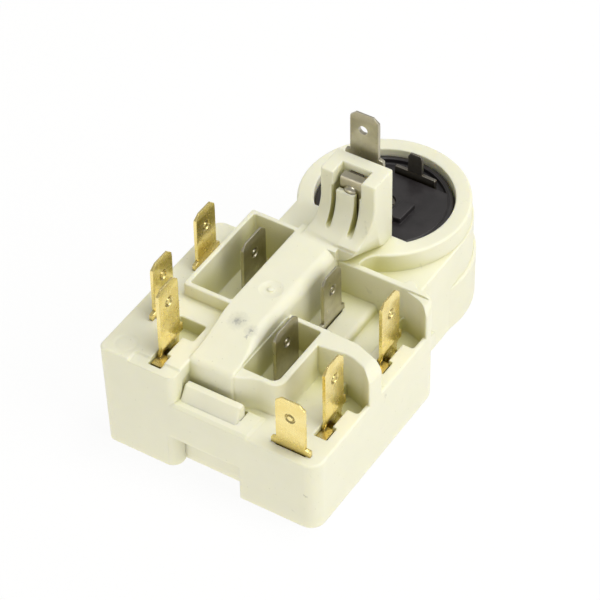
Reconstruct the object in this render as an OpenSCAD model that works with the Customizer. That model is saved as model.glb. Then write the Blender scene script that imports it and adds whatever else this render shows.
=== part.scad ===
// PTC start relay of a refrigerator compressor, with the overload protector in its round pocket.
// Millimetres. X runs along the front face, Y from the front face to the pocket, Z up.
// Blocks, wells and tabs are laid out from the front left corner; place() moves that corner so
// that the origin is under the middle of the whole part.

/* [Block] */
// Width of the relay block
block_w = 47; // [45:0.5:56]
// Depth of the block, front face to back wall
block_d = 44.3; // [44:0.1:52]
// Height of the left ledge and of the bay walls
ledge_h = 24.2; // [23.2:0.1:26]
// Height of the right ledge and of the well floors
floor_h = 16.6; // [15.6:0.1:17.4]
// Height of the ridge and of the left well's walls
crest_h = 27.2; // [26.4:0.1:30]
// Thickness of the outer walls
wall = 1.5; // [1.2:0.1:1.8]
// Thickness of the walls round the wells
thin_wall = 1; // [0.8:0.1:1.3]
// Thickness of ledges and well floors
deck_t = 1.6; // [1.2:0.1:1.9]
// Radius of the upright outer corners
corner_r = 2; // [1:0.1:2.6]
// Radius of the upright corners at the right side
right_corner_r = 3.2; // [2:0.1:4]

/* [Left side] */
// Width of the left part, up to the ridge
left_w = 15.6; // [14.8:0.1:17]
// Depth of the left ledge
left_d = 40; // [38.4:0.1:42]
// Width of the left ledge beside its well
left_shelf_w = 5.3; // [4.9:0.1:5.7]
// Length of the left well
left_well_l = 22.4; // [21:0.1:23]

/* [Ridge] */
// Width of the ridge over the PTC pill
ridge_w = 9.8; // [9.4:0.1:11]
// Distance from the front face to the ridge's front
ridge_front = 5.9; // [5.4:0.1:6.8]
// Height of the ridge's front end
ridge_nose_h = 24.8; // [24.2:0.1:26]
// Length of the slope between the ridge's nose and its crest
ridge_slope_l = 10; // [7:0.5:12]

/* [Right side] */
// Width of the middle well
mid_well_w = 7.5; // [7:0.1:8.5]
// Length of the middle well
mid_well_l = 15.6; // [14:0.1:16]
// Thickness of the wall between middle well and right bay
mid_wall = 1.3; // [1:0.1:1.8]
// Length of the rear bay
rear_bay_l = 17.2; // [16.8:0.1:18]
// Depth of the sunken strip in the rear bay's floor
strip_depth = 2; // [1:0.1:2.2]
// Thickness of the divider between the two bays
divider_t = 3.9; // [3:0.1:4.4]
// How far the bay walls sweep forward at the right side
sweep = 2.2; // [1:0.1:2.6]

/* [Snap latch] */
// Width of the latch
latch_w = 12.6; // [9:0.1:13]
// Thickness of the front wall that the latch grips
grip_t = 3.1; // [2.6:0.1:3.3]
// Height of the front wall under the barb
grip_h = 17; // [16.7:0.1:17.8]
// Thickness of the latch arm
latch_t = 1.4; // [1:0.1:1.6]
// Height of the barb
barb_h = 3.1; // [2:0.1:4]
// Height of the notch in the front wall
notch_h = 8.2; // [6:0.1:10]

/* [Pocket] */
// Outer radius of the pocket's foot
pocket_r = 18.2; // [17.8:0.1:19]
// Height of the pocket's foot
pocket_foot_h = 11.2; // [8:0.1:14]
// Bore radius of the pocket
pocket_bore_r = 13.9; // [13.7:0.1:14.3]
// Distance from the block's back wall to the pocket's axis
pocket_reach = 19.3; // [18.6:0.1:21]
// Height of the pocket's rim
rim_h = 24.2; // [23.6:0.1:25]
// Height of the low deck between block and pocket
low_deck_h = 19.8; // [18:0.1:21]

/* [Tower] */
// Width of the tower
tower_w = 12.2; // [11.4:0.1:13]
// Depth of the tower at its top
tower_d = 6.6; // [6.4:0.1:7.6]
// Height of the tower's top
tower_h = 41.2; // [39:0.1:44]
// Radius of the sweep from ridge to tower
tower_sweep_r = 7.6; // [6:0.1:9]
// Width of the notch in the tower
tower_notch_w = 6; // [5.4:0.1:6.6]
// Width of the slots beside the tongue
tongue_slot = 1.1; // [0.8:0.1:1.3]
// Height of the tongue's top
tongue_h = 36.9; // [35:0.1:38]

/* [Terminals] */
// Thickness of the sheet metal tabs
tab_t = 0.8; // [0.7:0.05:0.9]
// Width of the brass tabs
tab_w = 6.3; // [5.8:0.1:6.5]
// Width of the wide nickel tabs
wide_tab_w = 7.8; // [7.4:0.1:8]
// Height of a low tab above its ledge
tab_h = 12.4; // [11:0.1:13.5]
// Height of a tall tab above its ledge
tall_tab_h = 14.6; // [13:0.1:16]
// Diameter of the locating hole in a tab
tab_hole_d = 2; // [1.6:0.1:2.2]
// Thickness of the bus bars
bus_t = 0.8; // [0.6:0.05:1]

/* [PTC pill] */
// Radius of the PTC pill
pill_r = 9; // [7:0.1:9.2]
// Thickness of the PTC pill
pill_t = 3.2; // [2.5:0.1:3.6]
// Thickness of the contact springs
spring_t = 0.35; // [0.3:0.05:0.45]

/* [Pin sockets] */
// Bore diameter of the sockets for the compressor's pins
pin_d = 3.2; // [2.3:0.1:3.4]
// Distance between start pin and run pin
pin_pitch = 16; // [15:0.1:17]
// Wall of the pin sockets
socket_wall = 0.9; // [0.6:0.1:1.1]

/* [Protector] */
// Height of the protector's case
case_h = 14.4; // [13.4:0.1:15.2]
// Wall of the protector's case
case_wall = 1.6; // [1.2:0.1:2]
// Width of the protector's second tab
small_tab_w = 3.2; // [2.8:0.1:4.8]
// Height of the protector's second tab above its face
small_tab_h = 5.4; // [4.5:0.1:6.5]
// Depth of the protector's top below the rim
case_drop = 1.3; // [1:0.1:2]
// Radius of the bimetal disc
disc_r = 9; // [8:0.1:9.4]

/* [Fits] */
// Clearance round a tab in its slot
slot_fit = 0.1; // [0.05:0.05:0.15]
// Clearance between parts that slide together
slide_fit = 0.3; // [0.2:0.05:0.4]

/* [Hidden] */
$fn = 64;
over = 1;

// Lines across the block
ridge_x = left_w;
ridge_end_x = left_w + ridge_w;
mid_end_x = ridge_end_x + mid_well_w;
bay_x = mid_end_x + mid_wall;
ridge_wall = 1.4;
back_wall = 1.3;

// Lines along the block
left_well_end = block_d - thin_wall;
left_well_y = left_well_end - left_well_l;
rear_bay_end = block_d - back_wall;
rear_bay_y = rear_bay_end - rear_bay_l;
divider_y = rear_bay_y - divider_t;
mid_well_end = rear_bay_y - thin_wall;
mid_well_y = mid_well_end - mid_well_l;
mid_front = mid_well_y - thin_wall;

// Cavities
room_h = floor_h - deck_t;
shelf_room_h = ledge_h - deck_t;
ridge_room_h = ridge_nose_h - deck_t;

// Pocket and tower
pocket_x = block_w / 2;
pocket_y = block_d + pocket_reach;
total_l = pocket_y + pocket_r;
barrel_r = pocket_r - 0.6;
rim_r = pocket_r - 1;
chord_y = pocket_y - 9.1;
tower_x = pocket_x + 1.1 - tower_w / 2;
tower_front = chord_y - tower_d;
neck_left = 9.4;
neck_right = 29.3;
low_deck_right = pocket_x + barrel_r;
case_top = rim_h - case_drop;
case_bottom = case_top - case_h;

// Tower channel
notch_x = tower_x + (tower_w - tower_notch_w) / 2;
channel_back = chord_y - 2.8;
tongue_t = 1.1;
channel_front = tower_front + tongue_t;
channel_floor = 28;

// Terminals: middle of the sheet, then the near edge of the blade
shelf_tab_x = 3.5;
rear_shelf_tab_y = 26.9;
front_shelf_tab_y = 11.3;
slot_tab_x = 10.9;
slot_tab_y = 4.1;
side_tab_x = block_w - 3.9;
rear_side_tab_y = rear_bay_y + 4.6;
front_side_tab_y = 10.3;
left_well_tab_x = 11;
left_well_tab_y = left_well_y + 10.7;
rear_bay_tab_x = ridge_end_x + 3.6;
rear_bay_tab_y = rear_bay_y + 6.2;
mid_well_tab_x = ridge_end_x + 3.2;
mid_well_tab_y = mid_well_y + 6.1;
front_tab_y = 2.7;
front_tab_x = block_w - 10;
shoulder_w = 1.1;
shoulder_h = 1.3;
tip_chamfer = 0.9;

// Openings beside a tall tab, from the middle of its sheet and its near edge
slot_left = 1.4;
slot_right = 0.6;
slot_wide = 1.5;
slot_lead = 3;
slot_l = tab_w + 2.2;
slot_step_l = 3.4;
pit_half = 3;
pit_l = 4.4;

// Bus bars
left_bus_z = 12;
mid_bus_z = 12;
right_bus_z = 8;

// PTC pill and its springs
pill_x = ridge_x + ridge_w / 2;
pill_y = 24.5;
pill_z = ridge_room_h - pill_r - 0.4;
spring_room = (ridge_w - 2 * ridge_wall - pill_t) / 2;
spring_l = 9;
spring_half = 6.5;
ear_half = 3;

// Pin sockets
socket_r = pin_d / 2 + socket_wall;
run_x = pocket_x - pin_pitch / 2;
start_x = pocket_x + pin_pitch / 2;
relay_pin_y = 39;
common_pin_y = chord_y + 1.2;
plate_t = 2;
socket_slit = 0.8;

// Protector
case_r = pocket_bore_r - slide_fit;
lid_t = 1.5;
lid_lip = 0.9;
case_roof = 2.2;
line_tab_y = chord_y + 1.7;
line_tab_top = tower_h + 9.2;
line_wide_top = tower_h - 0.7;
side_tab_mid_x = pocket_x + 1.8;
rear_tab_y = pocket_y + 8.9;
small_shoulder_w = 3;
small_shoulder_h = 0.8;
seat_y = rear_tab_y - 0.9;
seat_depth = 1.1;
disc_t = 0.3;
disc_dish = 0.9;
disc_z = case_bottom + lid_t + 4.2;
screw_r = 1.2;
screw_head_r = 2.1;
screw_sink = 1.3;
button_r = 1.5;
button_t = 0.7;
contact_x = 5.6;

// Moves the front left corner so that the origin lies under the middle of the part
module place() {
    translate([-block_w / 2, -total_l / 2, 0]) children();
}

// Box between two corners
module span(a, b) {
    translate(a) cube(b - a);
}

// Upright prism with rounded corners where asked: [front left, front right, back right, back left]
module rounded_prism(a, b, r, which) {
    w = b[0] - a[0];
    d = b[1] - a[1];
    h = b[2] - a[2];
    spots = [[0, 0], [w, 0], [w, d], [0, d]];
    inward = [[1, 1], [-1, 1], [-1, -1], [1, -1]];
    translate(a) difference() {
        cube([w, d, h]);
        for (i = [0:3])
            if (which[i] == 1)
                corner_cut(spots[i], inward[i], r, h);
    }
}

// What a rounded corner takes away
module corner_cut(spot, inward, r, h) {
    translate([spot[0], spot[1], -over]) scale_sign(inward) difference() {
        translate([-over, -over, 0]) cube([r + over, r + over, h + 2 * over]);
        translate([r, r, -over]) cylinder(r = r, h = h + 4 * over);
    }
}

// Mirrors its child into the quarter that the signs name
module scale_sign(s) {
    mirror([s[0] < 0 ? 1 : 0, 0, 0]) mirror([0, s[1] < 0 ? 1 : 0, 0]) children();
}

// Ridge seen from the side, with a smooth slope behind its nose
function slope_z(u) = ridge_nose_h + (crest_h - ridge_nose_h) * (1 - cos(180 * u)) / 2;
slope_y = ridge_front + 4.6;
nose_r = 1.4;
module ridge_profile() {
    difference() {
        polygon(concat(
            [[ridge_front, 0], [ridge_front, ridge_nose_h]],
            [for (i = [0:12]) [slope_y + ridge_slope_l * i / 12, slope_z(i / 12)]],
            [[block_d, crest_h], [block_d, 0]]));
        translate([ridge_front, ridge_nose_h]) difference() {
            translate([-over, -nose_r]) square([nose_r + over, nose_r + over]);
            translate([nose_r, -nose_r]) circle(r = nose_r);
        }
    }
}

// Extrudes a Y-Z profile along X
module along_x(x0, x1) {
    translate([x0, 0, 0]) rotate([90, 0, 90]) linear_extrude(x1 - x0) children();
}

// Extrudes an X-Z profile along Y
module along_y(y0, y1) {
    translate([0, y1, 0]) rotate([90, 0, 0]) linear_extrude(y1 - y0) children();
}

// Bay wall along X that sweeps forward at the right side
sweep_r = (pow(6.4, 2) + pow(sweep, 2)) / (2 * sweep);
module bay_wall(x0, y0, y1) {
    sweep_x = block_w - 6.4;
    span([x0, y0, 0], [sweep_x, y1, ledge_h]);
    translate([0, 0, 0]) intersection() {
        translate([sweep_x, y1 - sweep_r, 0]) difference() {
            cylinder(r = sweep_r, h = ledge_h, $fn = 128);
            translate([0, 0, -over]) cylinder(r = sweep_r - (y1 - y0), h = ledge_h + 2 * over, $fn = 128);
        }
        translate([sweep_x, y0 - 2 * sweep, 0]) cube([block_w - sweep_x, y1 - y0 + 2 * sweep, ledge_h]);
    }
}

// Rounds the top right ends of the bay walls
module bay_end_rounding() {
    r = 2.7;
    along_y(mid_front, block_d + over) translate([block_w, ledge_h]) difference() {
        translate([-r, -r]) square([r + over, r + over]);
        translate([-r, -r]) circle(r = r);
    }
}

// Outer form of the relay block
module block_body() {
    rounded_prism([0, 0, 0], [left_w, left_d, ledge_h], corner_r, [1, 0, 0, 1]);
    rounded_prism([left_shelf_w, grip_t, 0], [block_w, block_d, floor_h], right_corner_r, [0, 0, 1, 0]);
    rounded_prism([left_w - over, 0, 0], [block_w, block_d - right_corner_r - over, floor_h], right_corner_r, [0, 1, 0, 0]);
    span([left_w - over, 0, 0], [left_w + latch_w + 2.8, grip_t, grip_h]);
    along_x(ridge_x, ridge_end_x) ridge_profile();
    rounded_prism([ridge_end_x - over, mid_front, 0], [bay_x, rear_bay_y, ledge_h], corner_r, [0, 1, 0, 0]);
    bay_wall(bay_x - corner_r, divider_y, rear_bay_y);
    bay_wall(ridge_end_x - over, rear_bay_end, block_d);
    translate([rib_x, block_d, 0]) cylinder(r = rib_r, h = ledge_h);
}
rib_x = block_w - 6.3;
rib_r = 1.3;

// Left well's box, down to its floor
module left_well_box() {
    span([left_shelf_w, left_well_y - thin_wall, room_h], [left_w + over, block_d, crest_h]);
}

// Sunken strip in the rear bay's floor, and the deck that closes it below
strip_x = bay_x + 0.1;
strip_end_x = side_tab_x - pit_half - 0.5;
module strip(x0, x1, y0, y1, z0, z1) {
    rounded_prism([x0, y0, z0], [x1, y1, z1], 0.8, [0, 1, 1, 1]);
}

module strip_deck() {
    span([strip_x - deck_t, rear_bay_y - thin_wall, floor_h - strip_depth - deck_t],
        [strip_end_x + thin_wall, rear_bay_end, room_h + over / 2]);
}

// Space inside the block
module block_room() {
    span([wall, grip_t, -over], [left_w, left_d - wall, room_h]);
    span([left_shelf_w + wall, grip_t, -over], [block_w - wall, block_d - wall, room_h]);
    span([wall, grip_t, room_h - over], [left_w - wall, left_d - wall, shelf_room_h]);
    span([ridge_x + ridge_wall, ridge_front + wall, room_h - over],
        [ridge_end_x - ridge_wall, block_d - wall, ridge_room_h]);
}

// Spaces of the three wells and the latch
module well_spaces() {
    span([left_shelf_w + thin_wall, left_well_y, floor_h], [left_w, left_well_end, max(crest_h, ledge_h) + over]);
    strip(strip_x, strip_end_x, rear_bay_y, rear_bay_end - thin_wall, floor_h - strip_depth, floor_h + over);
    rounded_prism([ridge_end_x, mid_well_y, floor_h], [mid_end_x, mid_well_end, ledge_h + over],
        corner_r - mid_wall / 2, [0, 1, 0, 0]);
    span([latch_x - slide_fit, grip_t, -over], [latch_x + latch_w + slide_fit, ridge_front, ledge_h]);
    span([latch_x - slide_fit, -over, -over], [latch_x + latch_w + slide_fit, grip_t + over, notch_h]);
}
latch_x = left_w + 1.2;

// Slot and pit that a tall tab stands in, from the middle of the sheet and the near edge
module tall_tab_opening(x, y, z) {
    y0 = y - slot_lead + 0.4;
    span([x - slot_left, y0, z - deck_t - over], [x + slot_right, y0 + slot_l + pit_l / 2, z + over]);
    span([x - slot_left, y0, z - deck_t - over], [x + slot_wide, y0 + slot_step_l, z + over]);
    span([x - pit_half, y0 + slot_l, z - deck_t - over], [x + pit_half, y0 + slot_l + pit_l, z + over]);
}

// Slot of a low tab whose blade lies along Y
module low_tab_opening(x, y, z, w) {
    span([x - tab_t / 2 - slot_fit, y - slot_fit, z - deck_t - over],
        [x + tab_t / 2 + slot_fit, y + w + slot_fit, z + over]);
}

module tab_openings() {
    tall_tab_opening(slot_tab_x, slot_tab_y, ledge_h);
    tall_tab_opening(side_tab_x, rear_side_tab_y, floor_h);
    tall_tab_opening(side_tab_x, front_side_tab_y, floor_h);
    low_tab_opening(shelf_tab_x, rear_shelf_tab_y, ledge_h, tab_w);
    low_tab_opening(shelf_tab_x, front_shelf_tab_y, ledge_h, tab_w);
    low_tab_opening(left_well_tab_x, left_well_tab_y, floor_h, wide_tab_w);
    low_tab_opening(rear_bay_tab_x, rear_bay_tab_y, floor_h, tab_w);
    low_tab_opening(mid_well_tab_x, mid_well_tab_y, floor_h, wide_tab_w);
    span([front_tab_x - slot_fit, front_tab_y - tab_t / 2 - slot_fit, room_h - tab_h],
        [front_tab_x + tab_w + slot_fit, front_tab_y + tab_t / 2 + slot_fit, floor_h + over]);
}

// Wall of the round pocket: foot, barrel and a rim with a soft edge
rim_round = 0.8;
module pocket_wall() {
    translate([pocket_x, pocket_y, 0]) rotate_extrude($fn = 128) difference() {
        union() {
            translate([pocket_bore_r, 0]) square([pocket_r - pocket_bore_r, pocket_foot_h]);
            translate([pocket_bore_r, 0]) square([barrel_r - pocket_bore_r, low_deck_h]);
            translate([pocket_bore_r, 0]) square([rim_r - pocket_bore_r, rim_h]);
        }
        translate([rim_r, rim_h]) difference() {
            translate([-rim_round, -rim_round]) square(rim_round + over);
            translate([-rim_round, -rim_round]) circle(r = rim_round);
        }
    }
}

// Neck between the block and the pocket
module neck() {
    span([neck_left, block_d - over, 0], [neck_right, pocket_y, rim_h]);
    span([neck_right - over, block_d - over, 0], [low_deck_right, pocket_y, low_deck_h]);
}

// Space inside the neck, outside the pocket's wall
module neck_room() {
    difference() {
        span([neck_left + wall, block_d, -over], [low_deck_right - wall, pocket_y, low_deck_h - deck_t]);
        translate([pocket_x, pocket_y, -2 * over]) cylinder(r = barrel_r - slide_fit, h = rim_h + 3 * over, $fn = 128);
    }
}

// Roof over the front of the protector, which carries the tower
module chord_roof() {
    intersection() {
        translate([pocket_x, pocket_y, case_top]) cylinder(r = barrel_r - 1, h = rim_h - case_top);
        span([0, block_d, case_top], [block_w, chord_y, rim_h]);
    }
}

// Tower seen from the side: upright back, hollow sweep down to the ridge
sweep_mid_y = tower_front - tower_sweep_r;
sweep_mid_z = crest_h + tower_sweep_r;
module tower_profile() {
    difference() {
        translate([sweep_mid_y, rim_h]) square([chord_y - sweep_mid_y, tower_h - rim_h]);
        translate([sweep_mid_y, sweep_mid_z]) circle(r = tower_sweep_r, $fn = 128);
        translate([sweep_mid_y - over, sweep_mid_z]) square([tower_sweep_r + over, tower_h]);
    }
}

// The sweep narrows to the ridge at its right foot
cheek_r = 8.6;
module tower_cheek() {
    translate([tower_x + tower_w - cheek_r, rim_h + cheek_r]) circle(r = cheek_r, $fn = 96);
    translate([0, rim_h + cheek_r]) square([tower_x + tower_w, tower_h]);
    square([tower_x + tower_w - cheek_r, rim_h + cheek_r + over]);
    translate([0, rim_h - over]) square([ridge_end_x, cheek_r]);
}

module tower() {
    difference() {
        intersection() {
            along_x(tower_x, tower_x + tower_w) tower_profile();
            union() {
                along_y(sweep_mid_y - over, tower_front + over) tower_cheek();
                span([0, tower_front, 0], [block_w, chord_y + over, tower_h + over]);
            }
        }
        span([ridge_end_x, rear_bay_y, floor_h], [block_w, rear_bay_end, tower_h]);
    }
}

// Channel behind the tongue, the notch above it and the two slots beside it
module tower_spaces() {
    span([notch_x, channel_front, channel_floor], [notch_x + tower_notch_w, channel_back, tower_h + over]);
    span([notch_x, sweep_mid_y, tongue_h], [notch_x + tower_notch_w, channel_back, tower_h + over]);
    for (x = [notch_x, notch_x + tower_notch_w - tongue_slot]) {
        span([x, sweep_mid_y, slot_end_z], [x + tongue_slot, channel_front + slide_fit, tongue_h + over]);
        translate([x + tongue_slot / 2, sweep_mid_y, slot_end_z]) rotate([-90, 0, 0])
            cylinder(d = tongue_slot, h = channel_front - sweep_mid_y + slide_fit);
    }
}
slot_end_z = crest_h + 3.6;

// Lugs that hold the protector up in its pocket
lug_h = 1.6;
lug_reach = 1.2;
lug_w = 6;
module pocket_lugs() {
    for (a = [30, 150, 270])
        translate([pocket_x, pocket_y, 0]) rotate([0, 0, a]) intersection() {
            difference() {
                translate([0, 0, case_bottom - lug_h]) cylinder(r = pocket_bore_r + over / 2, h = lug_h);
                cylinder(r = pocket_bore_r - lug_reach, h = rim_h);
            }
            translate([0, -lug_w / 2, 0]) cube([pocket_r, lug_w, rim_h]);
        }
}

module housing() {
    color("#E6E3CC") place() difference() {
        union() {
            difference() {
                block_body();
                block_room();
            }
            strip_deck();
            left_well_box();
            difference() {
                neck();
                translate([pocket_x, pocket_y, -over]) cylinder(r = pocket_bore_r, h = rim_h + 2 * over, $fn = 128);
                neck_room();
            }
            pocket_wall();
            chord_roof();
            tower();
            pocket_lugs();
        }
        well_spaces();
        tab_openings();
        tower_spaces();
        bay_end_rounding();
    }
}

// Bottom plate with the latch arm, the posts under the bus bars and the pill's cradle
module base_cover() {
    color("#DCD8BE") place() {
        difference() {
            union() {
                span([wall + slide_fit, grip_t + slide_fit, 0], [left_w, left_d - wall - slide_fit, plate_t]);
                span([left_shelf_w + wall + slide_fit, grip_t + slide_fit, 0],
                    [block_w - wall - slide_fit, block_d - wall - slide_fit, plate_t]);
            }
            for (x = [run_x, start_x])
                translate([x, relay_pin_y, -over]) cylinder(r = socket_r, h = plate_t + 2 * over);
        }
        latch();
        post(shelf_tab_x + 2, front_shelf_tab_y, left_bus_z);
        post(left_well_tab_x, rear_shelf_tab_y + 2, left_bus_z);
        post(mid_well_tab_x, mid_well_tab_y + 2, mid_bus_z);
        post(side_tab_x - 3, front_side_tab_y + 2, right_bus_z);
        post(side_tab_x - 3, rear_side_tab_y + 2, right_bus_z);
        cradle();
    }
}

post_w = 2.4;
module post(x, y, z) {
    span([x - post_w / 2, y - post_w / 2, plate_t / 2], [x + post_w / 2, y + post_w / 2, z]);
}

module cradle() {
    span([pill_x - pill_t / 2, pill_y - 4, plate_t / 2], [pill_x + pill_t / 2, pill_y + 4, pill_z - pill_r - slide_fit]);
}

// Latch arm with its barb over the front wall
arm_y = grip_t + slide_fit;
module latch() {
    barb_z = grip_h;
    along_x(latch_x, latch_x + latch_w) polygon([
        [arm_y, 0], [arm_y, barb_z], [1.7, barb_z], [arm_y, barb_z + barb_h],
        [arm_y + latch_t, barb_z + barb_h], [arm_y + latch_t, 0]]);
}

// Blade of a tab in its own X-Z plane, point up, left edge at zero; tang_z is its lowest point
module tab_outline(w, h, tang_z, shoulder) {
    polygon([[0, tang_z], [0, 0], [-shoulder, 0], [-shoulder, shoulder_h], [0, shoulder_h + 0.3],
        [0, h - tip_chamfer], [tip_chamfer * 0.8, h], [w - tip_chamfer * 0.8, h],
        [w, h - tip_chamfer], [w, shoulder_h + 0.3], [w + shoulder, shoulder_h], [w + shoulder, 0],
        [w, 0], [w, tang_z]]);
}

// Sheet seen edge on, with its tip thinned on both sides
module tip_profile(w, h, tang_z) {
    polygon([[-tab_t / 2, tang_z], [-tab_t / 2, h - 1.6], [-tab_t / 5, h], [tab_t / 5, h],
        [tab_t / 2, h - 1.6], [tab_t / 2, tang_z]]);
}

hole_drop = 4.4;
dimple_depth = 0.25;

// Flat tab whose blade lies along X, standing on z = 0; hole or dimple as asked
module flat_tab(w, h, tang_z, shoulder, through) {
    difference() {
        intersection() {
            along_y(-tab_t / 2, tab_t / 2) tab_outline(w, h, tang_z, shoulder);
            along_x(-shoulder - over, w + shoulder + over) tip_profile(w, h, tang_z);
        }
        translate([w / 2, through ? -over : -tab_t / 2 - over, h - hole_drop]) rotate([-90, 0, 0])
            cylinder(d = tab_hole_d, h = through ? 2 * over : over + dimple_depth);
    }
}

// Tab whose blade lies along Y, from the middle of the sheet and the near edge
module side_tab(x, y, z, w, h, drop, shoulder, through) {
    translate([x, y, z]) rotate([0, 0, 90]) flat_tab(w, h, -drop, shoulder, through);
}

module rear_left_tab() {
    color("#D9B13B") place()
        side_tab(shelf_tab_x, rear_shelf_tab_y, ledge_h, tab_w, tab_h, ledge_h - left_bus_z - bus_t, shoulder_w, false);
}

module middle_left_tab() {
    color("#D9B13B") place()
        side_tab(shelf_tab_x, front_shelf_tab_y, ledge_h, tab_w, tab_h, ledge_h - left_bus_z - bus_t, shoulder_w, false);
}

// Tall tab: the blade comes up from an offset foot in its slot
foot_offset = 0.9;
foot_h = 1.5;
module tall_tab(x, y, z, bus_z) {
    drop = z - bus_z - bus_t;
    side_tab(x, y, z - foot_h, tab_w, tall_tab_h + foot_h, 0, 0, false);
    translate([x, y, z - foot_h]) {
        span([-foot_offset, -foot_offset, 0], [tab_t / 2, tab_w, tab_t]);
        span([-foot_offset, -foot_offset, foot_h - drop], [-foot_offset + tab_t, tab_w, tab_t]);
    }
}

module front_left_tab() {
    color("#D9B13B") place() tall_tab(slot_tab_x, slot_tab_y, ledge_h, left_bus_z);
}

module rear_right_tab() {
    color("#D9B13B") place() tall_tab(side_tab_x, rear_side_tab_y, floor_h, right_bus_z);
}

module middle_right_tab() {
    color("#D9B13B") place() tall_tab(side_tab_x, front_side_tab_y, floor_h, right_bus_z);
}

module left_well_tab() {
    color("#9C9A90") place()
        side_tab(left_well_tab_x, left_well_tab_y, floor_h, wide_tab_w, tab_h, floor_h - left_bus_z - bus_t, 0, true);
}

module rear_bay_tab() {
    color("#9C9A90") place()
        side_tab(rear_bay_tab_x, rear_bay_tab_y, floor_h, tab_w, tab_h, floor_h - mid_bus_z - bus_t, shoulder_w, true);
}

module middle_well_tab() {
    color("#9C9A90") place()
        side_tab(mid_well_tab_x, mid_well_tab_y, floor_h, wide_tab_w, tab_h, floor_h - mid_bus_z - bus_t, 0, true);
}

module front_tab() {
    color("#D9B13B") place() translate([front_tab_x, front_tab_y, floor_h])
        flat_tab(tab_w, tab_h, -(floor_h - right_bus_z - bus_t), shoulder_w, false);
}

// Brass strip that joins the four left tabs, the run pin and the pill's left spring
module left_bus_bar() {
    z = left_bus_z;
    color("#C9A640") place() difference() {
        union() {
            span([shelf_tab_x - 1.2, slot_tab_y - 1, z], [left_well_tab_x + 1.6, rear_shelf_tab_y + tab_w + 1, z + bus_t]);
            span([left_well_tab_x - 1.6, rear_shelf_tab_y, z], [left_well_tab_x + 1.6, relay_pin_y + 1.5, z + bus_t]);
            span([left_well_tab_x - 1.6, relay_pin_y - 1.5, z], [run_x + 1.5, relay_pin_y + 1.5, z + bus_t]);
            span([left_well_tab_x, pill_y - ear_half, z], [ridge_x + ridge_wall, pill_y + ear_half, z + bus_t]);
            span([ridge_x + ridge_wall - bus_t, pill_y - ear_half, pill_z - spring_half],
                [ridge_x + ridge_wall, pill_y + ear_half, z + bus_t]);
        }
        translate([left_well_tab_x - 3.4, slot_tab_y + tab_w + 3, z - over]) cube([5.6, 5.4, 2 * over + bus_t]);
    }
}

// Strip that joins the two middle tabs, the start pin and the pill's right spring
module middle_bus_bar() {
    z = mid_bus_z;
    color("#B9B6AA") place() {
        span([mid_well_tab_x - 1.6, mid_well_tab_y - 1, z], [rear_bay_tab_x + 1.4, relay_pin_y + 1.5, z + bus_t]);
        span([mid_well_tab_x, relay_pin_y - 1.5, z], [start_x + 1.5, relay_pin_y + 1.5, z + bus_t]);
        span([ridge_end_x - ridge_wall, pill_y - ear_half, z], [mid_well_tab_x, pill_y + ear_half, z + bus_t]);
        span([ridge_end_x - ridge_wall, pill_y - ear_half, pill_z - spring_half],
            [ridge_end_x - ridge_wall + bus_t, pill_y + ear_half, z + bus_t]);
    }
}

// Strip that joins the three right tabs
right_bus_reach = 4.4;
module right_bus_bar() {
    z = right_bus_z;
    color("#C9A640") place() {
        span([side_tab_x - right_bus_reach, grip_t + slide_fit, z],
            [side_tab_x + 1, rear_side_tab_y + tab_w + 1, z + bus_t]);
        span([front_tab_x, front_tab_y - tab_t / 2, z], [front_tab_x + tab_w, front_side_tab_y, z + bus_t]);
    }
}

// Sprung barrel that grips a compressor pin
module pin_socket(x, y, z0, z1) {
    translate([x, y, z0]) difference() {
        cylinder(r = socket_r, h = z1 - z0);
        translate([0, 0, -over]) cylinder(d = pin_d, h = z1 - z0 + 2 * over);
        translate([-socket_slit / 2, 0, -over]) cube([socket_slit, socket_r + over, z1 - z0 - 1.2 + over]);
    }
}

module run_pin_socket() {
    color("#C9A640") place() pin_socket(run_x, relay_pin_y, plate_t + slide_fit, left_bus_z);
}

module start_pin_socket() {
    color("#B9B6AA") place() pin_socket(start_x, relay_pin_y, plate_t + slide_fit, mid_bus_z);
}

module ptc_pill() {
    color("#5A5752") place() translate([pill_x - pill_t / 2, pill_y, pill_z]) rotate([0, 90, 0])
        cylinder(r = pill_r, h = pill_t);
}

// Bowed spring between a wall at x = 0 and the pill's face at x = room
module pill_spring(room) {
    t = spring_t;
    half = spring_half;
    along_y(-spring_l / 2, spring_l / 2) polygon([
        [0, -half], [t, -half], [t, -half + 1.2], [room, -2], [room, 2], [t, half - 1.2], [t, half],
        [0, half], [0, half - 1.6], [room - t, 1.6], [room - t, -1.6], [0, -half + 1.6]]);
}

module left_pill_spring() {
    color("#C8C4B8") place() translate([ridge_x + ridge_wall, pill_y, pill_z]) pill_spring(spring_room);
}

module right_pill_spring() {
    color("#C8C4B8") place() translate([ridge_end_x - ridge_wall, pill_y, pill_z]) mirror([1, 0, 0])
        pill_spring(spring_room);
}

// Spring clip that shows in the tower's notch, folded over at its top
clip_w = tower_notch_w - 1.4;
clip_t = 0.5;
module tower_clip() {
    x0 = notch_x + (tower_notch_w - clip_w) / 2;
    y0 = channel_front + 0.2;
    top = tower_h - 0.4;
    color("#8F8A7C") place() difference() {
        along_x(x0, x0 + clip_w) polygon([
            [y0, channel_floor], [y0 + clip_t, channel_floor], [y0 + clip_t, top - clip_t],
            [y0 + 1.5, top - clip_t], [y0 + 1.5, top], [y0, top]]);
        translate([x0 + clip_w / 2, y0 - over, tongue_h + 1.6]) rotate([-90, 0, 0])
            cylinder(d = 1.9, h = over + 0.2);
    }
}

// Brass strip behind the clip
link_side = 1.6;
link_t = 0.5;
link_sink = 1.4;
module tower_link() {
    y1 = channel_back - slot_fit;
    color("#C9A640") place()
        span([notch_x + link_side, y1 - link_t, channel_floor], [notch_x + tower_notch_w - link_side, y1, tower_h - link_sink]);
}

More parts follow.
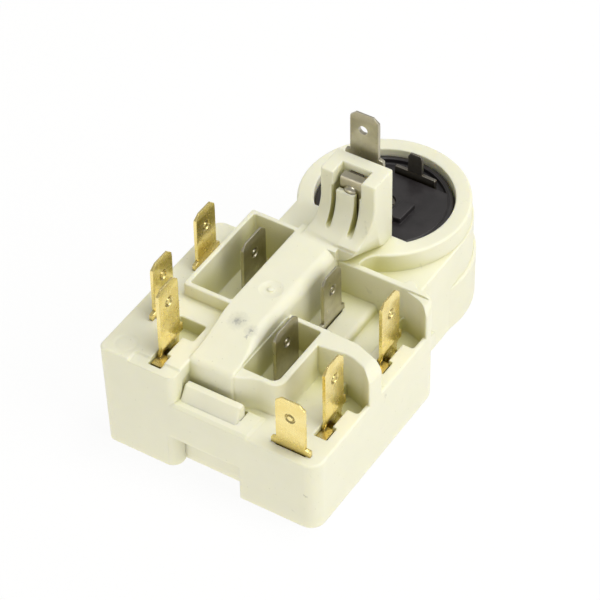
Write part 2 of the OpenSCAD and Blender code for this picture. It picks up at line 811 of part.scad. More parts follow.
// Phenolic cup of the overload protector, open below
module protector_case() {
    color("#2A282B") place() translate([pocket_x, pocket_y, 0]) difference() {
        union() {
            translate([0, 0, case_bottom]) cylinder(r = case_r, h = case_h - slot_fit, $fn = 128);
            case_land();
        }
        translate([0, 0, case_bottom - over]) cylinder(r = case_r - case_wall, h = case_h - case_roof + over, $fn = 128);
        translate([0, 0, case_bottom - over]) cylinder(r = case_r - lid_lip, h = lid_t + over, $fn = 128);
        translate([-tab_w / 2 - shoulder_w - slot_fit, line_tab_y - pocket_y - tab_t / 2 - slot_fit, case_bottom])
            cube([tab_w + 2 * shoulder_w + 2 * slot_fit, tab_t + 2 * slot_fit, case_h]);
        translate([side_tab_mid_x - pocket_x - small_tab_w / 2 - slot_fit, rear_tab_y - pocket_y - tab_t / 2 - slot_fit, case_bottom])
            cube([small_tab_w + 2 * slot_fit, tab_t + 2 * slot_fit, case_h]);
        translate([0, 0, case_bottom]) cylinder(r = screw_r + slot_fit, h = case_h);
        translate([0, 0, case_top - screw_sink]) cylinder(r = screw_head_r + slot_fit, h = case_h);
        case_seat();
    }
}

// Raised land in the middle of the protector's top
land_h = 1.2;
module case_land() {
    translate([0, 0, case_top - over]) linear_extrude(over + land_h)
        polygon([[3.1, -4.6], [6.1, -4.3], [6.4, 1.1], [3.4, 0.7]]);
}

// Sunken seat behind the second tab, up to the case's rim
module case_seat() {
    intersection() {
        translate([0, 0, case_top - seat_depth]) cylinder(r = case_r - 0.6, h = case_h, $fn = 128);
        translate([-case_r, seat_y - pocket_y, case_bottom]) cube([2 * case_r, case_r, 2 * case_h]);
    }
}

// Lid under the protector that carries the common pin's socket
module protector_base() {
    color("#3A383A") place() difference() {
        translate([pocket_x, pocket_y, case_bottom]) cylinder(r = case_r - lid_lip - slot_fit, h = lid_t, $fn = 128);
        translate([pocket_x, common_pin_y + 2.6, case_bottom - over]) cylinder(r = 1, h = lid_t + 2 * over);
    }
}

// Foot of a protector tab under the roof, with its contact at the end
case_ceiling = case_top - case_roof;
module protector_line_tab() {
    foot_z = case_ceiling - tab_t;
    color("#A9A69C") place() {
        translate([pocket_x - tab_w / 2, line_tab_y, line_wide_top])
            flat_tab(tab_w, line_tab_top - line_wide_top, 0, 0, true);
        span([pocket_x - tab_w / 2 - shoulder_w, line_tab_y - tab_t / 2, foot_z],
            [pocket_x + tab_w / 2 + shoulder_w, line_tab_y + tab_t / 2, line_wide_top]);
        span([pocket_x - contact_x - 2, line_tab_y - tab_t / 2, foot_z],
            [pocket_x - contact_x + 2, pocket_y + 2, foot_z + tab_t]);
    }
}

small_tab_z = case_top - seat_depth;
arm_w = 3;
module protector_rear_tab() {
    foot_z = case_ceiling - tab_t;
    color("#6E6C68") place() {
        translate([side_tab_mid_x - small_tab_w / 2, rear_tab_y, small_tab_z])
            flat_tab(small_tab_w, small_tab_h, foot_z - small_tab_z, 0, false);
        span([side_tab_mid_x - small_tab_w / 2 - small_shoulder_w, rear_tab_y - tab_t / 2, small_tab_z],
            [side_tab_mid_x + small_tab_w / 2 + small_shoulder_w, rear_tab_y + tab_t / 2, case_top + small_shoulder_h]);
        span([pocket_x + contact_x - 2, pocket_y - 2, foot_z],
            [pocket_x + contact_x + 2, rear_tab_y + tab_t / 2, foot_z + tab_t]);
        span([side_tab_mid_x - small_tab_w / 2, rear_tab_y + tab_t / 2 - arm_w, foot_z],
            [pocket_x + contact_x - 2 + over, rear_tab_y + tab_t / 2, foot_z + tab_t]);
    }
}

module common_pin_socket() {
    top = case_bottom;
    color("#C9A640") place() {
        pin_socket(pocket_x, common_pin_y, top - 7.4, top);
    }
}

// Dished snap disc on its screw
module bimetal_disc() {
    n = 8;
    color("#B7A58A") place() translate([pocket_x, pocket_y, disc_z]) rotate_extrude($fn = 96)
        polygon(concat(
            [for (i = [0:n]) [screw_r + slot_fit + (disc_r - screw_r - slot_fit) * i / n, disc_dish * pow(i / n, 2)]],
            [for (i = [n:-1:0]) [screw_r + slot_fit + (disc_r - screw_r - slot_fit) * i / n, disc_dish * pow(i / n, 2) + disc_t]]));
}

module calibration_screw() {
    color("#8E8C86") place() translate([pocket_x, pocket_y, 0]) difference() {
        union() {
            translate([0, 0, disc_z - 1.1]) cylinder(r = screw_r, h = case_top - screw_sink + 0.9 - disc_z + 1.1);
            translate([0, 0, disc_z - 1.1]) cylinder(r = screw_head_r, h = 1.1);
            translate([0, 0, case_top - screw_sink]) cylinder(r = screw_head_r, h = 0.9);
        }
        translate([-screw_head_r - over, -0.3, case_top - screw_sink + 0.5]) cube([2 * (screw_head_r + over), 0.6, over]);
    }
}

// Silver buttons: two fixed under the tabs' feet, two on the disc
button_top = case_ceiling - tab_t;
module line_contact() {
    color("#D5D2C8") place() translate([pocket_x - contact_x, pocket_y, button_top - button_t])
        cylinder(r = button_r, h = button_t);
}

module heater_contact() {
    color("#D5D2C8") place() translate([pocket_x + contact_x, pocket_y, button_top - button_t])
        cylinder(r = button_r, h = button_t);
}

disc_button_z = disc_z + disc_dish + disc_t;
module disc_contacts() {
    color("#D5D2C8") place() for (x = [-contact_x, contact_x])
        translate([pocket_x + x, pocket_y, disc_button_z]) cylinder(r = button_r, h = button_top - button_t - disc_button_z);
}

// Heater wire, a flat coil on the lid
coil_r = 2;
coil_pitch = 2.2;
coil_t = 0.6;
coil_gap = 1.6;
module heater_wire() {
    z0 = case_bottom + lid_t;
    color("#9A948A") place() translate([pocket_x, pocket_y, z0]) {
        for (i = [1:3])
            difference() {
                cylinder(r = coil_r + i * coil_pitch, h = coil_t);
                translate([0, 0, -over]) cylinder(r = coil_r + i * coil_pitch - coil_t, h = coil_t + 2 * over);
                translate([-coil_gap / 2, 0, -over]) cube([coil_gap, 4 * coil_pitch + coil_r, coil_t + 2 * over]);
            }
        translate([coil_r + coil_pitch - coil_t / 2, -coil_t / 2, 0]) cube([2 * coil_pitch, coil_t, coil_t]);
    }
}

housing();
base_cover();
rear_left_tab();
middle_left_tab();
front_left_tab();
left_well_tab();
rear_bay_tab();
middle_well_tab();
rear_right_tab();
middle_right_tab();
front_tab();
left_bus_bar();
middle_bus_bar();
right_bus_bar();
run_pin_socket();
start_pin_socket();
ptc_pill();
left_pill_spring();
right_pill_spring();
tower_clip();
tower_link();
protector_case();
protector_base();
protector_line_tab();
protector_rear_tab();
common_pin_socket();
bimetal_disc();
calibration_screw();
line_contact();
heater_contact();
disc_contacts();
heater_wire();
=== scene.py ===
"""Start relay of a refrigerator compressor with its overload protector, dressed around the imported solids.

Lengths in the builders below are millimetres from the block's front left bottom corner: X along the front
face, Y towards the round pocket, Z up. deliver() turns them into the row's metres.
"""

import math

import bmesh
import bpy
from mathutils import Matrix, Vector


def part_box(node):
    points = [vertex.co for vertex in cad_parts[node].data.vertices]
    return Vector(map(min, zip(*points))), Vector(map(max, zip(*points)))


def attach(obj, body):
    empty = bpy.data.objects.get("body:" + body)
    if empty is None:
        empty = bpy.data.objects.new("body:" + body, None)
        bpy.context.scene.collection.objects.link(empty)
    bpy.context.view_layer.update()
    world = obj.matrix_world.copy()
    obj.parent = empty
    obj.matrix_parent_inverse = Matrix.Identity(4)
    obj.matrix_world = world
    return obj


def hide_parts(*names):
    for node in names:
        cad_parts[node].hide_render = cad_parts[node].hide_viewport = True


bl_info = {
    "name": "Start relay",
    "version": (1, 0, 0),
    "blender": (4, 5, 0),
    "location": "View3D > Sidebar > Start relay",
    "description": "Builds a start relay's housing, blades and protector around its solids",
    "category": "Object",
}

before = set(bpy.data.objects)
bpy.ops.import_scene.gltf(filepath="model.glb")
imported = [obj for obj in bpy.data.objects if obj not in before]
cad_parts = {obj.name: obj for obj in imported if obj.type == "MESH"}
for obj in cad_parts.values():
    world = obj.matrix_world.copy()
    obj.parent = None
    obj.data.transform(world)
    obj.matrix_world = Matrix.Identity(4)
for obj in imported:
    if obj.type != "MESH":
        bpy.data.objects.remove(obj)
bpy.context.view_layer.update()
HOUSING_LOW, HOUSING_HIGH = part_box("housing")

MM = 0.001
BLOCK_W = (HOUSING_HIGH.x - HOUSING_LOW.x) / MM
TOWER_H = HOUSING_HIGH.z / MM


def node_box(node):
    """A node's box in millimetres from the block's front left bottom corner."""
    low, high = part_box(node)
    return (low - HOUSING_LOW) / MM, (high - HOUSING_LOW) / MM


# ---------------------------------------------------------------- settings


class RelayHousingSettings(bpy.types.PropertyGroup):
    ledge_height: bpy.props.FloatProperty(
        name="Ledge height", description="Height of the left ledge and of the bay walls", default=0.0242, unit="LENGTH")
    floor_height: bpy.props.FloatProperty(
        name="Floor height", description="Height of the right ledge and of the well floors", default=0.0166, unit="LENGTH")
    crest_height: bpy.props.FloatProperty(
        name="Crest height", description="Height of the ridge and of the left well's walls", default=0.0272, unit="LENGTH")
    edge_round: bpy.props.FloatProperty(
        name="Edge rounding", description="Radius of the moulded edges", default=0.00045, unit="LENGTH")


class RelayTerminalSettings(bpy.types.PropertyGroup):
    blade_width: bpy.props.FloatProperty(
        name="Blade width", description="Width of the standard blades", default=0.0063, unit="LENGTH")
    wide_blade_width: bpy.props.FloatProperty(
        name="Wide blade width", description="Width of the two wide plated blades", default=0.0078, unit="LENGTH")
    blade_thickness: bpy.props.FloatProperty(
        name="Blade thickness", description="Thickness of the sheet the blades are cut from", default=0.0008, unit="LENGTH")
    dimple_radius: bpy.props.FloatProperty(
        name="Dimple radius", description="Radius of the locking dimple in a blade", default=0.00118, unit="LENGTH")


class RelayProtectorSettings(bpy.types.PropertyGroup):
    case_radius: bpy.props.FloatProperty(
        name="Case radius", description="Radius of the protector's phenolic case", default=0.0136, unit="LENGTH")
    case_top: bpy.props.FloatProperty(
        name="Case top", description="Height of the protector's upper face", default=0.0229, unit="LENGTH")
    heater_turns: bpy.props.IntProperty(
        name="Heater turns", description="Turns of the heater's coiled wire", default=26, min=4, max=60)


class RelayStageSettings(bpy.types.PropertyGroup):
    azimuth: bpy.props.FloatProperty(
        name="Azimuth", description="Camera's turn round the relay", subtype="ANGLE", default=math.radians(32.865))
    elevation: bpy.props.FloatProperty(
        name="Elevation", description="Camera's angle above the floor", subtype="ANGLE", default=math.radians(43.985))
    roll: bpy.props.FloatProperty(
        name="Roll", description="Camera's turn about its own axis", subtype="ANGLE", default=math.radians(-1.135))
    lens: bpy.props.FloatProperty(
        name="Lens", description="Focal length on a 36 mm wide sensor", subtype="DISTANCE_CAMERA", default=181.0)
    eye: bpy.props.FloatVectorProperty(
        name="Eye", description="Camera's place from the block's front left bottom corner", subtype="XYZ",
        unit="LENGTH", size=3, default=(0.247415, -0.314281, 0.419838))


# ---------------------------------------------------------------- outlines and solids


def inset(points, amount):
    """The corners of a counter-clockwise outline moved inwards by the amount, outwards where it is negative."""
    moved = []
    count = len(points)
    for i, point in enumerate(points):
        a = (point - points[i - 1]).normalized()
        b = (points[(i + 1) % count] - point).normalized()
        na, nb = Vector((-a.y, a.x)), Vector((-b.y, b.x))
        moved.append(point + (na + nb) * (amount / (1 + na.dot(nb))))
    return moved


def rounded(points, radii, steps=5, amount=0.0):
    """A counter-clockwise outline moved inwards by the amount, with its corners rounded; every rounded corner
    keeps its count of points, also where nothing of its radius is left."""
    points = [Vector(p) for p in points]
    corners = inset(points, amount)
    count = len(points)
    if not isinstance(radii, (list, tuple)):
        radii = [radii] * count
    outline = []
    for i, corner in enumerate(corners):
        if radii[i] <= 0:
            outline.append(corner)
            continue
        before = (corners[i - 1] - corner).normalized()
        after = (corners[(i + 1) % count] - corner).normalized()
        inward = before.x * after.y - before.y * after.x < 0
        radius = max(radii[i] - amount if inward else radii[i] + amount, 0.0)
        half = before.angle(after) / 2
        centre = corner + (before + after).normalized() * (radius / math.sin(half))
        start = corner + before * (radius / math.tan(half)) - centre
        turn = math.pi - 2 * half if inward else 2 * half - math.pi
        for k in range(steps + 1):
            outline.append(centre + Matrix.Rotation(turn * k / steps, 2) @ start)
    return outline


def box_outline(x0, y0, x1, y1):
    return [(x0, y0), (x1, y0), (x1, y1), (x0, y1)]


def solid(name, rings):
    """A closed mesh object, in millimetres, through rings of equal length, with flat ends."""
    count = len(rings[0])
    points = [tuple(p) for ring in rings for p in ring]
    faces = [list(range(count))[::-1], [len(points) - count + k for k in range(count)]]
    for level in range(len(rings) - 1):
        low = level * count
        for k in range(count):
            following = (k + 1) % count
            faces.append([low + k, low + following, low + count + following, low + count + k])
    mesh = bpy.data.meshes.new(name)
    mesh.from_pydata(points, [], faces)
    outward(mesh)
    made = bpy.data.objects.new(name, mesh)
    bpy.context.scene.collection.objects.link(made)
    return made


def outward(mesh):
    """Merges doubles and turns the faces outwards."""
    work = bmesh.new()
    work.from_mesh(mesh)
    bmesh.ops.remove_doubles(work, verts=work.verts, dist=1e-4)
    bmesh.ops.recalc_face_normals(work, faces=work.faces)
    work.to_mesh(mesh)
    work.free()


def upright(name, points, levels, radii=0.0, steps=5):
    """A solid over an outline in X and Y; each level is a height and how far the outline is moved inwards."""
    return solid(name, [[(p.x, p.y, z) for p in rounded(points, radii, steps, amount)] for z, amount in levels])


def domed(z0, z1, radius, steps=4):
    """Levels of a solid whose upper edge is rounded."""
    levels = [(z0, 0.0)]
    for k in range(steps + 1):
        angle = math.pi / 2 * k / steps
        levels.append((z1 - radius + radius * math.sin(angle), radius * (1 - math.cos(angle))))
    return levels


def sunk(z0, z1, foot, head, steps=4, above=3.0):
    """Levels of a cutter that leaves a rounded floor edge and a rounded rim."""
    levels = []
    for k in range(steps + 1):
        angle = math.pi / 2 * k / steps
        levels.append((z0 + foot * (1 - math.cos(angle)), foot * (1 - math.sin(angle))))
    for k in range(steps + 1):
        angle = math.pi / 2 * k / steps
        levels.append((z1 - head + head * math.sin(angle), -head * (1 - math.cos(angle))))
    levels.append((z1 + above, -head))
    return levels


def circle_outline(centre, radius, steps, start=0.0, turn=2 * math.pi):
    """Points on a circle or, with a turn below a full one, on an arc with both its ends."""
    last = steps if turn == 2 * math.pi else steps - 1
    return [Vector((centre[0] + radius * math.cos(start + turn * k / last),
                    centre[1] + radius * math.sin(start + turn * k / last))) for k in range(steps)]


def block(name, low, high):
    x0, y0, z0 = low
    x1, y1, z1 = high
    return upright(name, box_outline(x0, y0, x1, y1), [(z0, 0), (z1, 0)])


def along_x(name, profile, x0, x1):
    """A solid whose outline in Y and Z runs along X."""
    return solid(name, [[(x, p[0], p[1]) for p in profile] for x in (x0, x1)])


def along_y(name, profile, y0, y1):
    """A solid whose outline in X and Z runs along Y."""
    return solid(name, [[(p[0], y, p[1]) for p in profile] for y in (y0, y1)])


def turned(name, profile, centre, steps=96):
    """A ring-shaped solid: a closed outline of radius and height turned about an upright axis."""
    points, faces = [], []
    count = len(profile)
    for s in range(steps):
        angle = 2 * math.pi * s / steps
        for r, z in profile:
            points.append((centre[0] + r * math.cos(angle), centre[1] + r * math.sin(angle), z))
    for s in range(steps):
        for k in range(count):
            a, b = s * count + k, s * count + (k + 1) % count
            c, d = ((s + 1) % steps) * count + (k + 1) % count, ((s + 1) % steps) * count + k
            faces.append([a, b, c, d])
    mesh = bpy.data.meshes.new(name)
    mesh.from_pydata(points, [], faces)
    outward(mesh)
    made = bpy.data.objects.new(name, mesh)
    bpy.context.scene.collection.objects.link(made)
    return made


def rod(name, centre, radius, z0, z1, steps=48):
    return upright(name, circle_outline(centre, radius, steps), [(z0, 0), (z1, 0)])


def flatten(target):
    """Replaces the object's mesh with what its modifiers make of it."""
    graph = bpy.context.evaluated_depsgraph_get()
    graph.update()
    made = bpy.data.meshes.new_from_object(target.evaluated_get(graph), preserve_all_data_layers=True, depsgraph=graph)
    old = target.data
    target.modifiers.clear()
    target.data = made
    bpy.data.meshes.remove(old)


def combine(target, operation, tools):
    """Adds the tools to the target or cuts them out of it, and removes them."""
    for tool in tools:
        step = target.modifiers.new("step", "BOOLEAN")
        step.operation = operation
        step.solver = "MANIFOLD"
        step.object = tool
        flatten(target)
        shape = tool.data
        bpy.data.objects.remove(tool)
        bpy.data.meshes.remove(shape)
    return target


def deliver(made, name, material, nodes, smooth_below=38.0):
    """Cleans the mesh, gives it its material and its place in the row, and hands it to the frame."""
    mesh = made.data
    work = bmesh.new()
    work.from_mesh(mesh)
    bmesh.ops.remove_doubles(work, verts=work.verts, dist=2e-4)
    bmesh.ops.dissolve_degenerate(work, edges=work.edges, dist=2e-4)
    limit = math.radians(smooth_below)
    for face in work.faces:
        face.smooth = True
    for edge in work.edges:
        edge.smooth = len(edge.link_faces) == 2 and edge.calc_face_angle(0.0) < limit
    work.to_mesh(mesh)
    work.free()
    mesh.transform(Matrix.Translation(HOUSING_LOW) @ Matrix.Scale(MM, 4))
    mesh.materials.clear()
    mesh.materials.append(material)
    made.name = name
    mesh.name = name
    weighted = made.modifiers.new("weighted", "WEIGHTED_NORMAL")
    weighted.keep_sharp = True
    flatten(made)
    made.data.name = name
    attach(made, "root")
    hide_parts(*nodes)
    return made


def socket_named(tree, name):
    for item in tree.interface.items_tree:
        if item.item_type == "SOCKET" and item.in_out == "INPUT" and item.name == name:
            return item.identifier
    raise RuntimeError("the node tree has no input named " + name)


# ---------------------------------------------------------------- materials


def linear(code):
    """An sRGB hex colour as linear red, green, blue, alpha."""
    values = [int(code[i:i + 2], 16) / 255 for i in (1, 3, 5)]
    return [v / 12.92 if v <= 0.04045 else ((v + 0.055) / 1.055) ** 2.4 for v in values] + [1.0]


def add(tree, kind, inputs=None, **settings):
    """Adds a node; inputs maps a socket's name or index to a value or to another node's output."""
    made = tree.nodes.new(kind)
    for key, value in settings.items():
        setattr(made, key, value)
    for key, value in (inputs or {}).items():
        if isinstance(value, bpy.types.NodeSocket):
            tree.links.new(value, made.inputs[key])
        else:
            made.inputs[key].default_value = value
    return made


def start_material(name):
    material = bpy.data.materials.new(name)
    material.use_nodes = True
    tree = material.node_tree
    tree.nodes.clear()
    place = add(tree, "ShaderNodeTexCoord").outputs["Object"]
    return material, tree, place


def end_material(tree, shader):
    add(tree, "ShaderNodeOutputMaterial", {"Surface": shader.outputs[0]})


def ramp(tree, factor, stops):
    made = add(tree, "ShaderNodeValToRGB", {"Fac": factor})
    elements = made.color_ramp.elements
    while len(elements) < len(stops):
        elements.new(0.5)
    for element, (position, colour) in zip(elements, stops):
        element.position = position
        element.color = linear(colour) if isinstance(colour, str) else [colour, colour, colour, 1]
    return made


# place from the block's corner, radius and depth of colour of each rub mark
RUB_MARKS = ((19.4, 17.2, 26.6, 2.4, 0.22), (19.3, 17.0, 26.6, 0.9, 0.5), (20.4, 17.7, 26.7, 0.5, 0.4), (22.9, 16.4, 26.3, 1.6, 0.2),
             (22.9, 16.2, 26.3, 0.55, 0.5), (22.6, 14.9, 26.1, 0.5, 0.4), (44.6, 0.0, 8.6, 0.5, 0.4))


def moulded_pbt(name, light, shade, recess_shade, smudges=True):
    """PBT, injection moulded in a spark-eroded tool: a satin ivory with a soft, slightly translucent body, a fine
    grain that breaks up its gloss, olive painted shade in its recesses, faint flow clouds and grey handling smudges."""
    material, tree, place = start_material(name)
    # flow clouds about 9 mm across
    clouds = add(tree, "ShaderNodeTexNoise", {"Vector": place, "Scale": 110.0, "Detail": 3.0, "Roughness": 0.55})
    base = add(tree, "ShaderNodeMix", {"Factor": clouds.outputs["Fac"], "A": linear(light), "B": linear(shade)}, data_type="RGBA")
    # painted shade: the colour turns olive where ambient occlusion finds a well or a slot, for the dim light inside it
    recess_occlusion = add(tree, "ShaderNodeAmbientOcclusion", {"Distance": 0.011}, samples=8, only_local=True)
    depth = add(tree, "ShaderNodeMapRange", {"Value": recess_occlusion.outputs["AO"], "From Min": 0.22, "From Max": 0.74, "To Min": 1.0, "To Max": 0.0})
    recess_shaded = add(tree, "ShaderNodeMix", {"Factor": depth.outputs[0], "A": base.outputs["Result"], "B": linear(recess_shade)}, data_type="RGBA")
    colour = recess_shaded.outputs["Result"]
    if smudges:
        # two dark rub marks on the ridge, 1 and 0.7 mm across, with torn edges
        torn = add(tree, "ShaderNodeTexNoise", {"Vector": place, "Scale": 1400.0, "Detail": 4.0, "Roughness": 0.65})
        shaken = add(tree, "ShaderNodeVectorMath", {0: torn.outputs["Color"], 1: (0.5, 0.5, 0.5)}, operation="SUBTRACT")
        moved = add(tree, "ShaderNodeVectorMath", {0: shaken.outputs[0], "Scale": 0.0022}, operation="SCALE")
        spot = add(tree, "ShaderNodeVectorMath", {0: place, 1: moved.outputs[0]}, operation="ADD").outputs[0]
        for x, y, z, size, depth_of in RUB_MARKS:
            where = HOUSING_LOW + Vector((x, y, z)) * MM
            away = add(tree, "ShaderNodeVectorMath", {0: spot, 1: tuple(where)}, operation="DISTANCE")
            share = add(tree, "ShaderNodeMapRange", {"Value": away.outputs["Value"], "From Min": 0.3 * size * MM, "From Max": size * MM, "To Min": depth_of, "To Max": 0.0})
            colour = add(tree, "ShaderNodeMix", {"Factor": share.outputs[0], "A": colour, "B": linear("#5C5F66")}, data_type="RGBA").outputs["Result"]
        # a few dark rub marks, 1 to 3 mm, and specks of dust of 0.15 mm
        rub = add(tree, "ShaderNodeTexNoise", {"Vector": place, "Scale": 330.0, "Detail": 5.0, "Roughness": 0.6, "Distortion": 0.8})
        rubbed = ramp(tree, rub.outputs["Fac"], [(0.68, 0.0), (0.80, 0.34)])
        marked = add(tree, "ShaderNodeMix", {"Factor": rubbed.outputs["Color"], "A": colour, "B": linear("#6E6C66")}, data_type="RGBA")
        specks = add(tree, "ShaderNodeTexVoronoi", {"Vector": place, "Scale": 520.0, "Randomness": 1.0})
        dotted = ramp(tree, specks.outputs["Distance"], [(0.035, 0.28), (0.075, 0.0)])
        spotted = add(tree, "ShaderNodeMix", {"Factor": dotted.outputs["Color"], "A": marked.outputs["Result"], "B": linear("#7B735A")}, data_type="RGBA")
        colour = spotted.outputs["Result"]
    # spark-eroded grain of 0.09 mm, drawn as coarse as shows
    grain = add(tree, "ShaderNodeTexNoise", {"Vector": place, "Scale": 6500.0, "Detail": 2.0, "Roughness": 0.6})
    waves = add(tree, "ShaderNodeTexNoise", {"Vector": place, "Scale": 260.0, "Detail": 2.0})
    # tool radii of 0.4 mm on every edge that the mesh leaves sharp
    worn = add(tree, "ShaderNodeBevel", {"Radius": 0.0004}, samples=8)
    broad = add(tree, "ShaderNodeBump", {"Strength": 0.12, "Distance": 0.0002, "Height": waves.outputs["Fac"], "Normal": worn.outputs["Normal"]})
    fine = add(tree, "ShaderNodeBump", {"Strength": 0.14, "Distance": 0.00003, "Height": grain.outputs["Fac"], "Normal": broad.outputs["Normal"]})
    gloss = ramp(tree, grain.outputs["Fac"], [(0.3, 0.42), (0.7, 0.56)])
    shader = add(tree, "ShaderNodeBsdfPrincipled", {
        "Base Color": colour, "Roughness": gloss.outputs["Color"], "IOR": 1.55, "Normal": fine.outputs["Normal"],
        "Subsurface Weight": 0.35, "Subsurface Radius": (1.0, 0.9, 0.4), "Subsurface Scale": 0.0022})
    end_material(tree, shader)
    return material


def rolled_metal(name, light, dark, edge, roughness, brushing=0.5, specks=0.25):
    """Sheet metal, rolled and blanked: fine rolling lines along the blade, a burnished face, sheared edges in the edge
    colour (a painted highlight where it is lighter than the face, a darker edge where it is darker) and a few die
    scratches and stains."""
    material, tree, place = start_material(name)
    # rolling lines 0.05 mm apart, drawn twice as coarse to show
    stretched = add(tree, "ShaderNodeMapping", {"Vector": place, "Scale": (1.0, 1.0, 0.06)})
    lines = add(tree, "ShaderNodeTexNoise", {"Vector": stretched.outputs["Vector"], "Scale": 9000.0, "Detail": 3.0, "Roughness": 0.6})
    # handling stains 2 mm across
    stains = add(tree, "ShaderNodeTexNoise", {"Vector": place, "Scale": 480.0, "Detail": 4.0, "Roughness": 0.6})
    face = ramp(tree, stains.outputs["Fac"], [(0.34, dark), (0.62, light)])
    lined = add(tree, "ShaderNodeMix", {"Factor": lines.outputs["Fac"], "A": face.outputs["Color"], "B": linear(light)}, data_type="RGBA")
    # sheared edges: where the rounded normal leaves the face the colour turns to the edge colour, a painted highlight
    # where that is the lighter one
    worn = add(tree, "ShaderNodeBevel", {"Radius": 0.00016}, samples=6)
    flat = add(tree, "ShaderNodeNewGeometry")
    turn = add(tree, "ShaderNodeVectorMath", {0: worn.outputs["Normal"], 1: flat.outputs["Normal"]}, operation="DOT_PRODUCT")
    rim = add(tree, "ShaderNodeMapRange", {"Value": turn.outputs["Value"], "From Min": 0.80, "From Max": 0.98, "To Min": 0.75, "To Max": 0.0})
    sheared_edge_and_highlight = add(tree, "ShaderNodeMix", {"Factor": rim.outputs[0], "A": lined.outputs["Result"], "B": linear(edge)}, data_type="RGBA")
    # die pits take the edge colour too, so they show as light specks where that colour is a painted highlight
    pits = add(tree, "ShaderNodeTexVoronoi", {"Vector": place, "Scale": 900.0, "Randomness": 1.0})
    pitted = ramp(tree, pits.outputs["Distance"], [(0.05, specks), (0.12, 0.0)])
    spotted = add(tree, "ShaderNodeMix", {"Factor": pitted.outputs["Color"], "A": sheared_edge_and_highlight.outputs["Result"], "B": linear(edge)}, data_type="RGBA")
    # darker brown where ambient occlusion finds a corner within 1.1 mm: where the blade meets its slot and in the
    # dimple's bottom
    corner = add(tree, "ShaderNodeAmbientOcclusion", {"Distance": 0.0011}, samples=8)
    corner_darkening = add(tree, "ShaderNodeMapRange", {"Value": corner.outputs["AO"], "From Min": 0.40, "From Max": 0.90, "To Min": 0.8, "To Max": 0.0})
    corner_darkened = add(tree, "ShaderNodeMix", {"Factor": corner_darkening.outputs[0], "A": spotted.outputs["Result"], "B": linear("#4A3D1E")}, data_type="RGBA")
    relief = add(tree, "ShaderNodeBump", {"Strength": 0.10 * brushing, "Distance": 0.00002, "Height": lines.outputs["Fac"], "Normal": worn.outputs["Normal"]})
    gloss = ramp(tree, stains.outputs["Fac"], [(0.3, min(1.0, roughness + 0.12)), (0.7, roughness)])
    shader = add(tree, "ShaderNodeBsdfPrincipled", {
        "Base Color": corner_darkened.outputs["Result"], "Metallic": 1.0, "Roughness": gloss.outputs["Color"],
        "Normal": relief.outputs["Normal"]})
    end_material(tree, shader)
    return material


def phenolic(name):
    """Phenolic resin, compression moulded: charcoal with a dull sheen, a faint brown cast, filler specks and a
    slightly rippled skin."""
    material, tree, place = start_material(name)
    clouds = add(tree, "ShaderNodeTexNoise", {"Vector": place, "Scale": 240.0, "Detail": 4.0})
    base = ramp(tree, clouds.outputs["Fac"], [(0.35, "#1B181A"), (0.7, "#262224")])
    filler = add(tree, "ShaderNodeTexVoronoi", {"Vector": place, "Scale": 2600.0, "Randomness": 1.0})
    flecks = ramp(tree, filler.outputs["Distance"], [(0.10, 0.5), (0.22, 0.0)])
    speckled = add(tree, "ShaderNodeMix", {"Factor": flecks.outputs["Color"], "A": base.outputs["Color"], "B": linear("#3A3635")}, data_type="RGBA")
    ripples = add(tree, "ShaderNodeTexNoise", {"Vector": place, "Scale": 900.0, "Detail": 3.0})
    worn = add(tree, "ShaderNodeBevel", {"Radius": 0.0002}, samples=6)
    relief = add(tree, "ShaderNodeBump", {"Strength": 0.25, "Distance": 0.00008, "Height": ripples.outputs["Fac"], "Normal": worn.outputs["Normal"]})
    gloss = ramp(tree, clouds.outputs["Fac"], [(0.3, 0.30), (0.7, 0.45)])
    shader = add(tree, "ShaderNodeBsdfPrincipled", {
        "Base Color": speckled.outputs["Result"], "Roughness": gloss.outputs["Color"], "IOR": 1.6, "Normal": relief.outputs["Normal"]})
    end_material(tree, shader)
    return material


def fired_ceramic(name):
    """Barium titanate, pressed and fired, with silver fired on its faces: matt grey with a granular skin."""
    material, tree, place = start_material(name)
    grains = add(tree, "ShaderNodeTexVoronoi", {"Vector": place, "Scale": 1800.0, "Randomness": 1.0})
    clouds = add(tree, "ShaderNodeTexNoise", {"Vector": place, "Scale": 300.0, "Detail": 3.0})
    base = ramp(tree, clouds.outputs["Fac"], [(0.3, "#57534D"), (0.7, "#77736B")])
    relief = add(tree, "ShaderNodeBump", {"Strength": 0.3, "Distance": 0.00005, "Height": grains.outputs["Distance"]})
    shader = add(tree, "ShaderNodeBsdfPrincipled", {"Base Color": base.outputs["Color"], "Roughness": 0.72, "Normal": relief.outputs["Normal"]})
    end_material(tree, shader)
    return material


def studio_paper(name):
    """Seamless white paper on a light table: matt, with the faintest fibre mottle; it lights the relay softly from
    below, and the camera sees it as plain white apart from the relay's shadow."""
    material, tree, place = start_material(name)
    fibres = add(tree, "ShaderNodeTexNoise", {"Vector": place, "Scale": 900.0, "Detail": 3.0})
    tone = ramp(tree, fibres.outputs["Fac"], [(0.3, "#F4F4F2"), (0.7, "#FAFAF8")])
    paper = add(tree, "ShaderNodeBsdfDiffuse", {"Color": tone.outputs["Color"], "Roughness": 0.6})
    glow = add(tree, "ShaderNodeEmission", {"Color": (1.0, 1.0, 1.0, 1.0), "Strength": 1.0})
    path = add(tree, "ShaderNodeLightPath")
    seen = add(tree, "ShaderNodeMath", {0: path.outputs["Is Camera Ray"], 1: path.outputs["Is Glossy Ray"]}, operation="MAXIMUM")
    share = add(tree, "ShaderNodeMath", {0: seen.outputs[0], 1: 0.92}, operation="MULTIPLY")
    table = add(tree, "ShaderNodeEmission", {"Color": linear("#FFFDF6"), "Strength": 1.15})
    bounced = add(tree, "ShaderNodeMixShader", {0: path.outputs["Is Diffuse Ray"], 1: paper.outputs[0], 2: table.outputs[0]})
    shader = add(tree, "ShaderNodeMixShader", {0: share.outputs[0], 1: bounced.outputs[0], 2: glow.outputs[0]})
    end_material(tree, shader)
    return material


FINISHES = {}


